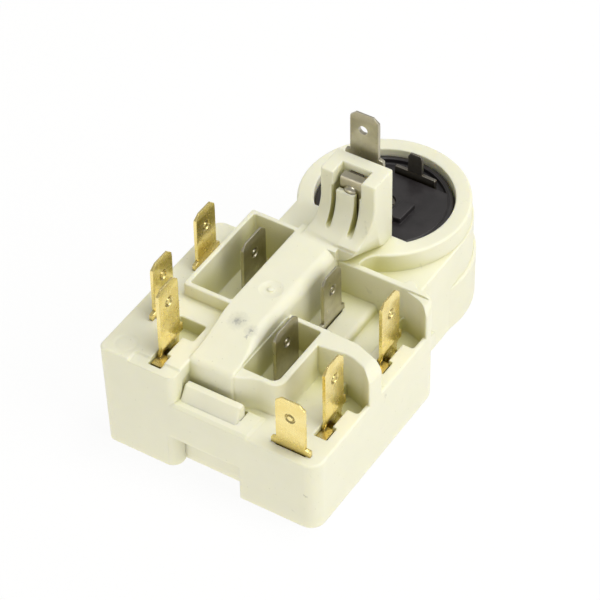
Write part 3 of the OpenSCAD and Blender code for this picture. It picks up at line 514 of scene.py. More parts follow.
def finish_of(name):
    """Makes each material once."""
    if name not in FINISHES:
        makers = {
            # the third colour of each PBT finish is the olive painted shade in its recesses
            "ivory": lambda: moulded_pbt("Moulded PBT, ivory", "#EBE9D4", "#E1E0CA", "#CFCC90"),
            "cover": lambda: moulded_pbt("Moulded PBT, cover", "#EAE8D4", "#E2E0C9", "#D6D3A0", smudges=False),
            # the third colour of each metal is its edge colour: a painted highlight on brass, nickel and dark, darker
            # sheared edges on bus, spring and silver
            "brass": lambda: rolled_metal("Rolled brass, blanked", "#F8E6A0", "#EDD37C", "#FBF3C8", 0.2, 0.4, 0.06),
            "bus": lambda: rolled_metal("Rolled brass, dull", "#C9A548", "#A98435", "#5E4617", 0.38),
            "nickel": lambda: rolled_metal("Nickel plated brass, blanked", "#BFBAA8", "#A59F8D", "#DEDACC", 0.27, 0.5, 0.12),
            # the dark finish is heat darkened steel on the heater, and painted shade on the tower link and the
            # protector's rear blade
            "dark": lambda: rolled_metal("Dark steel, heat darkened and painted shade", "#7D7972", "#5E5A55", "#D5D0C4", 0.42),
            "spring": lambda: rolled_metal("Spring steel strip", "#C2BFB6", "#A39F95", "#5B584F", 0.3),
            "silver": lambda: rolled_metal("Silver faced contact", "#E3E0D8", "#BFBAAE", "#77736A", 0.22),
            "phenolic": lambda: phenolic("Phenolic, compression moulded"),
            "ceramic": lambda: fired_ceramic("Barium titanate, fired"),
        }
        FINISHES[name] = makers[name]()
    return FINISHES[name]


# ---------------------------------------------------------------- housing

POCKET = (BLOCK_W / 2, 63.6)
RIDGE = (15.6, 25.4)
CREST_BACK = 44.3
TOWER = (18.5, 30.7)
TOWER_FRONT = 47.9
FLARE_TOP, FLARE_DROP, FLARE_REACH = 35.2, 8.06, 6.0
RIM_R, BARREL_R, FOOT_R = 17.2, 17.6, 18.2
FOOT_H, LOW_DECK_H = 11.2, 19.85


def ridge_height(y, crest, nose):
    """The ridge's top line: a convex rise from its nose to its crest."""
    share = min(max((y - 8.0) / 13.0, 0.0), 1.0)
    return nose + (crest - nose) * (1 - math.cos(math.pi * share)) / 2


def ridge_solid(crest):
    """The ridge, with a soft right shoulder, as cross-sections along Y."""
    nose, nose_round = 24.7, 1.3
    x0 = RIDGE[0]
    stations = []
    for k in range(7):
        angle = math.pi / 2 * k / 6
        stations.append((5.9 + nose_round * (1 - math.cos(angle)), nose - nose_round * (1 - math.sin(angle))))
    stations += [(y, ridge_height(y, crest, nose)) for y in [8.0 + 13.0 * k / 16 for k in range(17)]]
    stations += [(30.0, crest), (CREST_BACK + 1.5, crest)]
    rings = []
    for y, top in stations:
        shoulder = max(0.45, min(2.4, top - 24.2))
        x1 = RIDGE[1] - max(0.0, 0.7 - math.sqrt(max(0.0, 0.49 - (6.6 - min(y, 6.6)) ** 2)))
        ring = [(x0, y, 10.0)]
        ring += [(x0 + 0.4 * (1 - math.cos(a)), y, top - 0.4 + 0.4 * math.sin(a)) for a in [math.pi / 2 * k / 4 for k in range(5)]]
        ring += [(x1 - shoulder + shoulder * math.sin(a), y, top - shoulder + shoulder * math.cos(a))
                 for a in [math.pi / 2 * k / 8 for k in range(9)]]
        ring += [(x1, y, 10.0)]
        rings.append(ring)
    return solid("ridge", rings)


def sweep_of(z, top, drop, reach):
    """How far an edge of the tower has swept out at a height: a quarter of an ellipse below the top given."""
    share = min(max((top - z) / drop, 0.0), 1.0)
    return reach * (1 - math.sqrt(1 - share ** 2))


def tower_solid():
    """The tower with its foot swept forward onto the ridge and in at its right side."""
    chord = POCKET[1] - 9.1
    left, right = TOWER
    heights = [22.0, 23.4] + [24.25 + 0.48 * k for k in range(6)]
    heights += [FLARE_TOP - FLARE_DROP * math.cos(math.pi / 2 * k / 20) for k in range(21)]
    heights += [36.0, 36.8, TOWER_H - 0.35, TOWER_H - 0.1, TOWER_H]
    rings = []
    for z in heights:
        sweep = sweep_of(z, FLARE_TOP, FLARE_DROP, FLARE_REACH)
        right_in = sweep_of(z, FLARE_TOP, 10.97, 5.4)
        right_front = max(TOWER_FRONT - sweep_of(z, FLARE_TOP + 1.4, FLARE_DROP + 0.6, FLARE_REACH), 43.25)
        shrink = 0.35 if z == TOWER_H else (0.1 if z > TOWER_H - 0.2 else 0.0)
        outline = rounded([(left - 0.33 * sweep, TOWER_FRONT - sweep), (min(right - right_in - 1.4, 25.2), min(TOWER_FRONT - sweep, right_front)),
                           (right - right_in, right_front), (right, TOWER_FRONT + 0.7 + 0.5 * right_in), (right, chord), (left, chord),
                           (left, TOWER_FRONT + 0.7)], [0.5, 0.3, 0.45, 0.5 + 0.45 * right_in, 0.35, 0.35, 0.5], 4, shrink)
        rings.append([(p.x, p.y, z) for p in outline])
    return solid("tower", rings)


def tall_slot(x, y, z, pit_back):
    """The stepped slot and the pit behind it that a tall blade stands in."""
    front = y - 2.6
    return [
        upright("slot", box_outline(x - 1.4, front, x + 0.6, y + 7.2), sunk(z - 4, z, 0.0, 0.2, above=2), 0.25, 3),
        upright("slot", box_outline(x - 1.4, front, x + 1.5, front + 3.6), sunk(z - 4, z, 0.0, 0.2, above=2), 0.3, 3),
        upright("pit", box_outline(x - 3.0, y + 6.2, x + 2.9, y + pit_back), sunk(z - 3.4, z, 0.3, 0.3, above=2), 0.5, 3),
    ]


def blade_slot(x0, y0, x1, y1, z):
    """A close slot round a blade, with a little lead-in."""
    return upright("slot", box_outline(x0, y0, x1, y1), sunk(z - 4, z, 0.0, 0.15, above=2), 0.15, 2)


DIVIDER_RADII = (0.2, 0.4, 6.0, 4.0, 0.3, 0.3, 3.0, 6.0, 0.2, 0.2)
BACK_RADII = (0.2, 6.0, 4.0, 0.3, 3.6, 0.2)


def divider_outline(rear_y):
    """The wall between the right ledge's two blades, curled forward at its end."""
    return [(30.0, 21.5), (34.6, 21.5), (40.7, 22.35), (44.2, 21.1), (BLOCK_W, 18.9), (BLOCK_W, 23.4),
            (44.9, 24.1), (40.3, rear_y), (26.0, rear_y), (26.0, 24.0)]


def back_outline(rear_end, d):
    """The rear bay's back wall, curled forward at its end."""
    return [(25.0, rear_end), (40.3, rear_end), (44.4, 41.8), (BLOCK_W, 39.7), (BLOCK_W, d), (25.0, d)]


def build_housing(settings):
    ledge, floor, crest = (v / MM for v in (settings.ledge_height, settings.floor_height, settings.crest_height))
    edge = settings.edge_round / MM
    w = BLOCK_W
    d = CREST_BACK
    mid_x, bay_x = 32.9, 34.2
    rear_y, rear_end = 25.8, 43.0
    chord = POCKET[1] - 9.1

    shell = upright("housing", box_outline(0, 0, 16.0, 41.0), domed(0, ledge, edge), [1.4, 1.6, 0.4, 2.0])
    for point in shell.data.vertices:
        # the left wall leans outwards towards its top, as its mould's draft needs
        point.co.x -= 0.8 * point.co.z / ledge * max(0.0, 1 - point.co.x / 5.0)
    base = upright("base", box_outline(5.3, 0, w, d), domed(0, floor, edge), [0.3, 3.0, 3.6, 0.5], 7)
    raised = upright("raised", box_outline(15.0, 0, 32.2, 6.6), [(10, 0), (floor, 0), (floor + 0.6, 0.6)], [0.2, 0.8, 0.3, 0.2])
    left_well = upright("left_well", box_outline(5.3, 19.9, 16.6, d), domed(14.8, crest, 0.3), [0.5, 0.2, 0.2, 0.5])
    mid_box = upright("mid_box", [(22.0, 6.35), (25.6, 6.35), (29.2, 8.2), (bay_x, 8.2), (bay_x, 26.0), (22.0, 26.0)],
                      [(10, -0.7), (floor, -0.45)] + domed(floor + 1.5, ledge, 0.3), [0.3, 1.5, 4.0, 2.2, 0.2, 0.2], 7)
    divider = upright("divider", divider_outline(rear_y), domed(10, ledge, 0.3), DIVIDER_RADII, 6)
    back = upright("back", back_outline(rear_end, d), domed(10, ledge, 0.3), BACK_RADII, 7)
    nub = upright("nub", circle_outline((40.7, d), 1.3, 40), domed(0.4, ledge, 0.3))
    fillet = 4.0
    web_x = 29.4 + fillet
    web_y = POCKET[1] - math.sqrt((RIM_R + fillet) ** 2 - (web_x - POCKET[0]) ** 2)
    web_turn = math.atan2(POCKET[1] - web_y, POCKET[0] - web_x) - math.pi
    web = circle_outline((web_x, web_y), fillet, 9, math.pi, web_turn)
    neck = upright("neck", [Vector((9.4, d - 1)), Vector((29.4, d - 1))] + web + [Vector((29.4, POCKET[1] - 3)), Vector((9.4, POCKET[1] - 3))],
                   domed(0, ledge, 0.35))
    low_deck = upright("low_deck", box_outline(28.0, d - 1, POCKET[0] + BARREL_R, POCKET[1] - 1), domed(0, LOW_DECK_H, 0.35), 0.3, 3)
    combine(shell, "UNION", [base, raised])

    # the room inside, open below, before the wells and the neck go in
    rooms = [block("room", (1.5, 3.1, -1), (14.1, 38.5, ledge - 1.6)), block("room", (1.4, 3.1, -1), (w - 1.5, 38.5, floor - 1.6)),
             block("room", (6.8, 30, -1), (w - 1.5, d - 1.5, floor - 1.6))]
    combine(shell, "DIFFERENCE", rooms)
    neck_parts = combine(neck, "UNION", [low_deck])
    combine(neck_parts, "DIFFERENCE", [block("room", (10.9, d, -1), (39.0, POCKET[1] - 4, 18.2)),
                                       rod("bore", POCKET, 13.9, -1, 40.0, 96)])
    for post in (ridge_solid(crest), left_well, mid_box, divider, back):
        # nothing of the upper works reaches down into the room
        combine(shell, "UNION", [combine(post, "DIFFERENCE", [block("room", (1.4, 3.1, -1), (w - 1.5, d - 1.5, floor - 1.6))])])
    combine(shell, "DIFFERENCE", [block("room", (17.0, 7.4, 10), (24.0, d - 1.5, 22.8))])
    combine(shell, "UNION", [neck_parts, nub])

    # the round pocket: a foot, the barrel and a rim that steps in above the deck
    soft = 0.5
    rim = [(13.9, 0.0), (FOOT_R - 0.3, 0.0), (FOOT_R, 0.3), (FOOT_R, FOOT_H - 0.25), (FOOT_R - 0.25, FOOT_H), (BARREL_R, FOOT_H + 0.05),
           (BARREL_R, LOW_DECK_H - 0.25), (BARREL_R - 0.12, LOW_DECK_H - 0.05), (RIM_R, LOW_DECK_H), (RIM_R, ledge - soft)]
    rim += [(RIM_R - soft + soft * math.cos(a), ledge - soft + soft * math.sin(a)) for a in [math.pi / 2 * k / 6 for k in range(1, 7)]]
    rim += [(14.25, ledge), (13.98, ledge - 0.09), (13.9, ledge - 0.35)]
    ring = turned("ring", rim, POCKET, 128)
    roof = rod("roof", POCKET, 15.0, 21.4, ledge, 96)
    combine(roof, "DIFFERENCE", [upright("cut", box_outline(0, chord, w, 90), [(10, 0), (ledge - 0.3, 0), (ledge, -0.2), (ledge + 4, -0.2)])])
    combine(shell, "UNION", [ring, roof])
    combine(shell, "UNION", [tower_solid(), block("slab", (32.6, rear_y - 1, floor - 3.6), (40.9, rear_end + 0.5, floor - 1.5))])
    combine(shell, "DIFFERENCE", [rod("bore", POCKET, 13.9, -1, 21.4, 128)])

    # wells, bays and the rounding of the bay walls' right ends
    cuts = [
        upright("well", box_outline(6.3, 20.9, 15.6, d - 1.0), sunk(floor, crest, 0.25, 0.2), 0.5, 4),
        upright("well", box_outline(RIDGE[1], mid_well_front(), mid_x, 24.9), sunk(floor, ledge, 0.25, 0.2), [0.5, 1.6, 0.5, 0.5], 6),
        upright("bay", box_outline(RIDGE[1], 38.0, 60.0, rear_end), [(ledge - 0.4, 0), (ledge + 2.0, 0), (ledge + 12, 0)], 0.2, 3),
    ]
    radius = 2.7
    arc = [(w - radius + radius * math.sin(a), ledge - radius + radius * math.cos(a)) for a in [math.pi / 2 * k / 10 for k in range(11)]]
    cuts.append(along_y("ends", [(w + 1, ledge - radius), (w + 1, ledge + 1), (w - radius, ledge + 1)] + arc, 12.0, d + 2))
    # the rear bay's lower strip
    low_floor = floor - 2.0
    side = [(33.2, floor + 0.6), (33.2, floor)]
    side += [(33.2 + 1.1 * math.sin(a), floor - 1.1 + 1.1 * math.cos(a)) for a in [math.pi / 2 * k / 6 for k in range(1, 7)]]
    side += [(34.35, low_floor + 0.3), (34.65, low_floor), (39.9, low_floor), (39.9, floor + 0.6)]
    cuts.append(along_y("strip", side, rear_y + 0.01, rear_end - 0.01))
    for node, z in (("front_left_tab", ledge), ("rear_right_tab", floor), ("middle_right_tab", floor)):
        x, y = slot_of(node)
        combine(shell, "UNION", [block("tray", (x - 4.0, y + 5.2, z - 4.4), (x + 3.6, min(y + 13.2, d - 0.4), z - 1.2))])
        slots = tall_slot(x, y, z, 12.4 if z == floor else 10.8)
        if z == floor:
            # the pit ends at the wall behind it
            combine(slots[-1], "DIFFERENCE", [upright("wall", divider_outline(rear_y), [(5, 0), (30, 0)], DIVIDER_RADII, 6),
                                              upright("wall", back_outline(rear_end, d), [(5, 0), (30, 0)], BACK_RADII, 7)])
        cuts += slots
    for node, z in (("rear_left_tab", ledge), ("middle_left_tab", ledge), ("left_well_tab", floor), ("rear_bay_tab", floor),
                    ("middle_well_tab", floor), ("front_tab", floor)):
        low, high = node_box(node)
        spare = 1.1 if node in ("rear_left_tab", "middle_left_tab", "rear_bay_tab") else 0.0
        across = 1.1 if node == "front_tab" else 0.0
        lean, back, rise = BLADE_FIT.get(node, (0.0, 0.0, 0.0))
        cuts.append(blade_slot(low.x - 0.12 + across + lean, low.y - 0.12 + spare + back, high.x + 0.12 - across + lean, high.y + 0.12 - spare + back, z))
    # the notch in the front wall, and the gap behind it for the latch
    notch = [Vector((13.6 + 2.3 * math.sin(a), 2.3 - 2.3 * math.cos(a))) for a in [math.pi / 2 * k / 6 for k in range(7)]]
    notch = [Vector((12.0, -1.0)), Vector((13.0, -1.0)), Vector((13.6, -0.02))] + notch[1:]
    notch = [Vector((13.6, -1.0))] + notch[3:] + [Vector((15.9, 3.4)), Vector((29.9, 3.4)), Vector((30.1, 0.3)), Vector((30.4, -1.0))]
    cuts.append(upright("notch", notch, [(-1, 0), (8.2, 0)]))
    cuts.append(upright("gap", box_outline(15.7, 3.1, 28.7, 5.9), [(-1, 0), (ledge - 3, 0)], 0.1, 2))
    # the tower's channel, the notch over the tongue and the two slots beside it
    x0, x1 = 21.4, 27.6
    cuts.append(block("channel", (x0, 49.0, 28.0), (x1, 51.6, 50)))
    cuts.append(upright("mouth", [Vector((x0 - 0.1, 40)), Vector((x1 + 0.1, 40)), Vector((x1, 51.6)), Vector((x0, 51.6))],
                        [(37.0, 0), (TOWER_H - 0.3, 0), (TOWER_H, -0.2), (50, -0.2)]))
    for x, wide in ((x0 - 0.4, 1.05), (x1 - 1.55, 1.2)):
        end = circle_outline((x + wide / 2, 29.5), wide / 2, 9, math.pi, math.pi)
        cuts.append(along_y("tongue_slot", end + [(x + wide, 38), (x, 38)], 40.0, 51.5))
    # shallow marks: an ejector ring by the front corner, a sunken strip, the gate's ring on the ridge
    cuts.append(turned("mark", [(1.85, ledge - 0.1), (2.2, ledge - 0.1), (2.5, ledge - 0.005), (2.55, ledge + 1), (1.5, ledge + 1), (1.55, ledge - 0.005)], (3.4, 3.4), 48))
    cuts.append(upright("strip", box_outline(6.0, -1, 17.0, 2.7), [(ledge - 0.5, 0.3), (ledge - 0.38, 0.06), (ledge, -0.14), (ledge + 1, -0.2)], 0.6, 4))
    cuts.append(turned("gate", [(0.75, crest - 0.2), (1.8, crest - 0.2), (2.35, crest - 0.02), (2.4, crest + 1), (0.5, crest + 1), (0.55, crest - 0.02)], (20.4, 27.1), 48))
    combine(shell, "DIFFERENCE", cuts)
    combine(shell, "UNION", [upright("gate_pip", circle_outline((20.4, 27.1), 0.7, 24), [(crest - 0.5, 0), (crest + 0.02, 0.05), (crest + 0.14, 0.35)])])
    return deliver(shell, "housing_shell", finish_of("ivory"), ["housing"])


def mid_well_front():
    return 9.3


def slot_of(node):
    """Middle of a tall blade's sheet and its near edge, from its solid."""
    low, high = node_box(node)
    return high.x - 0.4, low.y + 0.9


def build_cover():
    """Bottom plate, latch arm with its barb, and the posts under the strips."""
    low, high = node_box("base_cover")
    plate = upright("cover", box_outline(1.8, 3.4, BLOCK_W - 1.8, 42.5), domed(0, 2.0, 0.25), 0.8, 4)
    step = block("cut", (0, 38.2, -1), (6.8, 50, 5))
    sockets = [rod("hole", (BLOCK_W / 2 + side * 8, 39.0), 2.5, -1, 5, 48) for side in (-1, 1)]
    combine(plate, "DIFFERENCE", [step] + sockets)
    wedge = [(3.4, 1.0), (3.4, 17.0), (1.75, 17.0), (1.72, 17.25), (3.25, 20.0), (3.45, 20.1), (4.6, 20.1), (4.8, 19.9), (4.8, 1.0)]
    x0, x1 = 16.2, 28.6
    rings = []
    for x, cut in ((x0, 0.35), (x0 + 0.45, 0.0), (x1 - 0.45, 0.0), (x1, 0.35)):
        rings.append([(x, y + (cut if y < 3.3 else 0.0), z - (cut if z > 19 else 0.0)) for y, z in wedge])
    combine(plate, "UNION", [solid("latch", rings)])
    combine(plate, "UNION", [block("apron", (12.0, 3.25, 1.4), (32.0, 4.4, 9.0))])
    for x, y, z in ((5.5, 11.3, 12), (11.0, 28.9, 12), (28.6, 17.3, 12), (40.1, 12.3, 8), (40.1, 32.4, 8)):
        combine(plate, "UNION", [upright("post", box_outline(x - 1.2, y - 1.2, x + 1.2, y + 1.2), [(1.0, -0.3), (z, 0)], 0.3, 3)])
    return deliver(plate, "bottom_cover", finish_of("cover"), ["base_cover"])


# ---------------------------------------------------------------- blades


def blade(name, levels, thickness, corner=0.1):
    """A blade standing up through levels: height, left edge, right edge, offset of the sheet, share of thickness."""
    rings = []
    for z, left, right, offset, share in levels:
        half = thickness * share / 2
        outline = rounded(box_outline(left, offset - half, right, offset + half), min(corner, half * 0.8), 3)
        rings.append([(p.x, p.y, z) for p in outline])
    return solid(name, rings)


def place_blade(made, x, y, z, turned_round):
    """Puts a blade's left foot at x, y, z; a turned one runs along Y."""
    turn = Matrix.Rotation(math.radians(90), 4, "Z") if turned_round else Matrix.Identity(4)
    made.data.transform(Matrix.Translation((x, y, z)) @ turn)
    return made


def blade_levels(width, height, tang, shoulder, bend=0.0):
    """Tang below, shoulders on the ledge, straight blade, then the thinned and clipped tip."""
    levels = [(-tang, 0.0, width, bend, 1.0)]
    if bend:
        levels += [(-1.4, 0.0, width, bend, 1.0), (-0.6, 0.0, width, bend * 0.85, 1.0), (0.3, 0.15, width - 0.15, bend * 0.35, 1.0),
                   (1.2, 0.1, width - 0.1, 0.0, 1.0), (2.0, 0.0, width, 0.0, 1.0)]
    if shoulder:
        levels += [(-0.02, 0.0, width, 0.0, 1.0), (0.0, -shoulder, width + shoulder, 0.0, 1.0),
                   (1.15, -shoulder, width + shoulder, 0.0, 1.0), (1.3, -shoulder + 0.15, width + shoulder - 0.15, 0.0, 1.0),
                   (1.5, 0.05, width - 0.05, 0.0, 1.0), (2.2, 0.0, width, 0.0, 1.0)]
    levels += [(height - 1.9, 0.0, width, 0.0, 1.0), (height - 1.1, 0.0, width, 0.0, 0.78), (height - 0.25, 0.95, width - 0.95, 0.0, 0.52),
               (height, 1.15, width - 1.15, 0.0, 0.4)]
    return levels


def dimple_in(made, width, height, thickness, radius, through, moved=(0.0, 0.0)):
    """A locking dimple in both faces of the blade, or a round hole through it."""
    spot = height - 4.3
    if through:
        ring = circle_outline((width / 2 + moved[0], spot + moved[1]), radius, 40)
        return combine(made, "DIFFERENCE", [along_y("hole", ring, -3, 3)])
    # a ring pressed round a flat-topped boss
    groove = [(radius * 0.40, 0.5), (radius * 0.44, 0.0), (radius * 0.66, -0.33), (radius * 0.80, -0.33), (radius, 0.0),
              (radius * 1.05, 0.5)]
    tools = []
    for side in (-1, 1):
        tool = turned("dimple", groove, (0.0, 0.0), 40)
        tool.data.transform(Matrix.Translation((width / 2, side * thickness / 2, spot)) @ Matrix.Rotation(-side * math.pi / 2, 4, "X"))
        tools.append(tool)
    return combine(made, "DIFFERENCE", tools)


# how far a blade stands from its solid's middle: across, back and up
BLADE_FIT = {
    "rear_left_tab": (-0.1, 0.5, 0.6), "middle_left_tab": (0.5, 0.6, 0.5), "front_left_tab": (-0.3, 0.1, 1.1),
    "left_well_tab": (0.0, 0.0, 0.8), "rear_bay_tab": (-0.3, 0.0, 0.0), "middle_well_tab": (0.0, 0.0, -0.4),
    "rear_right_tab": (-0.6, 0.0, -0.2), "middle_right_tab": (-0.6, 0.0, 0.0)}


def build_blade(settings, name, node, finish, ledge, kind):
    """One blade from its solid's box: low ones have shoulders, tall ones a bent foot, front ones run along X."""
    low, high = node_box(node)
    thickness = settings.blade_thickness / MM
    width = (settings.wide_blade_width if kind == "wide" else settings.blade_width) / MM
    lean, back, rise = BLADE_FIT.get(node, (0.0, 0.0, 0.0))
    height, tang = high.z + rise - ledge, ledge - low.z
    shoulder = 1.1 if kind in ("low", "front") else 0.0
    bend = 0.9 - thickness / 2 if kind == "tall" else 0.0
    levels = blade_levels(width, height, tang, shoulder, bend)
    made = blade(name, levels, thickness)
    dimple_in(made, width, height, thickness, settings.dimple_radius / MM, False)
    if kind == "tall":
        front_foot = block("foot", (-1.9, -1.5, -1.9), (1.2, 0.95, -1.0))
        lug = upright("lug", box_outline(width - 0.2, -thickness / 2 + 0.02, width + 0.85, thickness / 2 - 0.02), [(0.9, 0), (2.5, 0), (2.9, 0.2)], 0.1, 2)
        combine(made, "UNION", [front_foot, lug])
    if kind == "front":
        place_blade(made, low.x + shoulder, (low.y + high.y) / 2, ledge, False)
    elif kind == "tall":
        place_blade(made, high.x - thickness / 2 + lean, high.y - width + back, ledge, True)
    else:
        place_blade(made, (low.x + high.x) / 2 + lean, low.y + shoulder + back, ledge, True)
    return deliver(made, name, finish_of(finish), [node])


def build_clip():
    """The spring clip in the tower's mouth: a folded strip with a pressed dimple."""
    low, high = node_box("tower_clip")
    x0, x1, y = low.x - 0.1, high.x + 0.1, low.y
    top = high.z - 0.9
    thick = 0.45
    path = [(y, 28.0), (y, top - 2.6), (y - 0.15, top - 1.8), (y, top - 0.5), (y + 0.3, top - 0.1), (y + 1.7, top)]
    profile = path + [(y + 1.7, top - thick), (y + 0.6, top - 0.55), (y + thick, top - 0.9), (y + thick - 0.15, top - 1.8),
                      (y + thick, top - 2.6), (y + thick, 28.0)]
    made = along_x("clip", profile, x0, x1)
    mesh = bpy.data.meshes.new("ball")
    work = bmesh.new()
    swell = Matrix.Translation(((x0 + x1) / 2, y + 0.05, top - 2.7)) @ Matrix.Diagonal((1.5, 1.05, 1.05, 1.0))
    bmesh.ops.create_uvsphere(work, u_segments=24, v_segments=24, radius=1.0, matrix=swell)
    work.to_mesh(mesh)
    work.free()
    tool = bpy.data.objects.new("ball", mesh)
    bpy.context.scene.collection.objects.link(tool)
    combine(made, "UNION", [tool])
    return deliver(made, "tower_clip_strip", finish_of("nickel"), ["tower_clip"])


# ---------------------------------------------------------------- protector


SMALL_BLADE = (POCKET[0] + 1.8, POCKET[1] + 8.9)
SEAT_Y = SMALL_BLADE[1] - 0.9


def build_protector(settings):
    """Phenolic case with its raised land, the sunken seat behind the second blade and a rounded rim."""
    low, high = node_box("protector_case")
    radius, top = settings.case_radius / MM, settings.case_top / MM
    profile = [(radius - 1.6, low.z), (radius - 0.2, low.z), (radius, low.z + 0.2), (radius, top - 0.5), (radius - 0.15, top - 0.15),
               (radius - 0.5, top), (radius - 0.9, top), (radius - 1.0, top - 0.12), (radius - 1.5, top - 0.12), (radius - 1.6, top - 1.0)]
    ring = turned("case", profile, POCKET, 128)
    lid = upright("lid", [Vector((POCKET[0] + (radius - 1.2) * math.cos(2 * math.pi * k / 128), POCKET[1] + (radius - 1.2) * math.sin(2 * math.pi * k / 128)))
                          for k in range(128)], [(top - 2.2, 0), (top - 0.08, 0), (top, 0.08)])
    combine(ring, "UNION", [lid])
    x, y = POCKET
    behind = SEAT_Y - y
    reach = radius - 1.3
    start = math.asin(behind / reach)
    seat = circle_outline(POCKET, reach, 40, start, math.pi - 2 * start)
    cuts = [upright("seat", seat, [(top - 1.1, 0.25), (top - 0.9, 0.0), (top + 1, 0)])]
    cuts.append(upright("slot", box_outline(x - 4.4, 55.65, x + 4.4, 56.75), [(low.z, 0), (top + 1, 0)], 0.1, 2))
    cuts.append(upright("slot", box_outline(SMALL_BLADE[0] - 1.75, SMALL_BLADE[1] - 0.5, SMALL_BLADE[0] + 1.75, SMALL_BLADE[1] + 0.5),
                        [(low.z, 0), (top + 1, 0)], 0.1, 2))
    cuts.append(rod("screw_hole", POCKET, 2.2, top - 1.35, top + 1))
    combine(ring, "DIFFERENCE", cuts)
    land = upright("land", [(x + 3.1, y - 4.6), (x + 6.1, y - 4.3), (x + 6.4, y + 1.1), (x + 3.4, y + 0.7)],
                   [(top - 0.3, 0), (top + 1.05, 0.05), (top + 1.2, 0.2)], 0.3, 3)
    combine(ring, "UNION", [land])
    return deliver(ring, "protector_shell", finish_of("phenolic"), ["protector_case"])


def build_line_blade(settings):
    """The protector's tall line blade behind the tower, with its round hole and wide foot."""
    low, high = node_box("protector_line_tab")
    width, thickness = settings.blade_width / MM, settings.blade_thickness / MM
    x, y = POCKET[0], 56.2
    wide_top = TOWER_H - 0.7
    height = high.z - wide_top
    levels = [(low.z - wide_top, -1.1, width + 1.1, 0.0, 1.0), (-0.3, -1.1, width + 1.1, 0.0, 1.0), (0.0, -0.95, width + 0.95, 0.0, 1.0),
              (0.25, 0.0, width, 0.0, 1.0)] + blade_levels(width, height, 0, 0)[1:]
    made = blade("line_blade", levels, thickness)
    dimple_in(made, width, height, thickness, 1.0, True, (-0.25, 0.5))
    place_blade(made, x - width / 2, y, wide_top, False)
    foot = block("foot", (x - 7.6, y - 0.4, low.z), (x - 3.6, POCKET[1] + 2, low.z + 0.8))
    combine(made, "UNION", [foot])
    return deliver(made, "line_blade", finish_of("nickel"), ["protector_line_tab"])


def build_rear_blade(settings):
    """The protector's short second blade on its upright strip, painted dark as shade, with painted highlights on its
    edges.
    """
    low, high = node_box("protector_rear_tab")
    top = bpy.context.scene.relay_protector.case_top / MM
    x, y = SMALL_BLADE
    half, wing, tip = 1.6, 4.6, high.z + 1.7
    strip, seat = top + 1.35, top - 1.1
    levels = [(low.z, x - half, x + half, 0.0, 1.0), (seat + 0.01, x - half, x + half, 0.0, 1.0), (seat + 0.02, x - wing, x + wing, 0.0, 1.0),
              (strip - 0.2, x - wing, x + wing, 0.0, 1.0), (strip, x - wing + 0.2, x + wing - 0.2, 0.0, 0.8), (strip + 0.03, x - half, x + half, 0.0, 0.8),
              (strip + 0.3, x - half, x + half, 0.0, 1.0), (tip - 0.8, x - half, x + half, 0.0, 0.9), (tip, x - half + 0.45, x + half - 0.45, 0.0, 0.5)]
    made = blade("rear_blade", levels, settings.blade_thickness / MM)
    made.data.transform(Matrix.Translation((0, y, 0)))
    contact = POCKET[0] + 5.6
    feet = [block("foot", (x - half, y - 2.6, low.z), (contact - 1.9, y + 0.4, low.z + 0.8)),
            block("foot", (contact - 2, POCKET[1] - 2, low.z), (contact + 2, y + 0.4, low.z + 0.8))]
    combine(made, "UNION", feet)
    return deliver(made, "rear_blade", finish_of("dark"), ["protector_rear_tab"])


# ---------------------------------------------------------------- pieces made by node trees


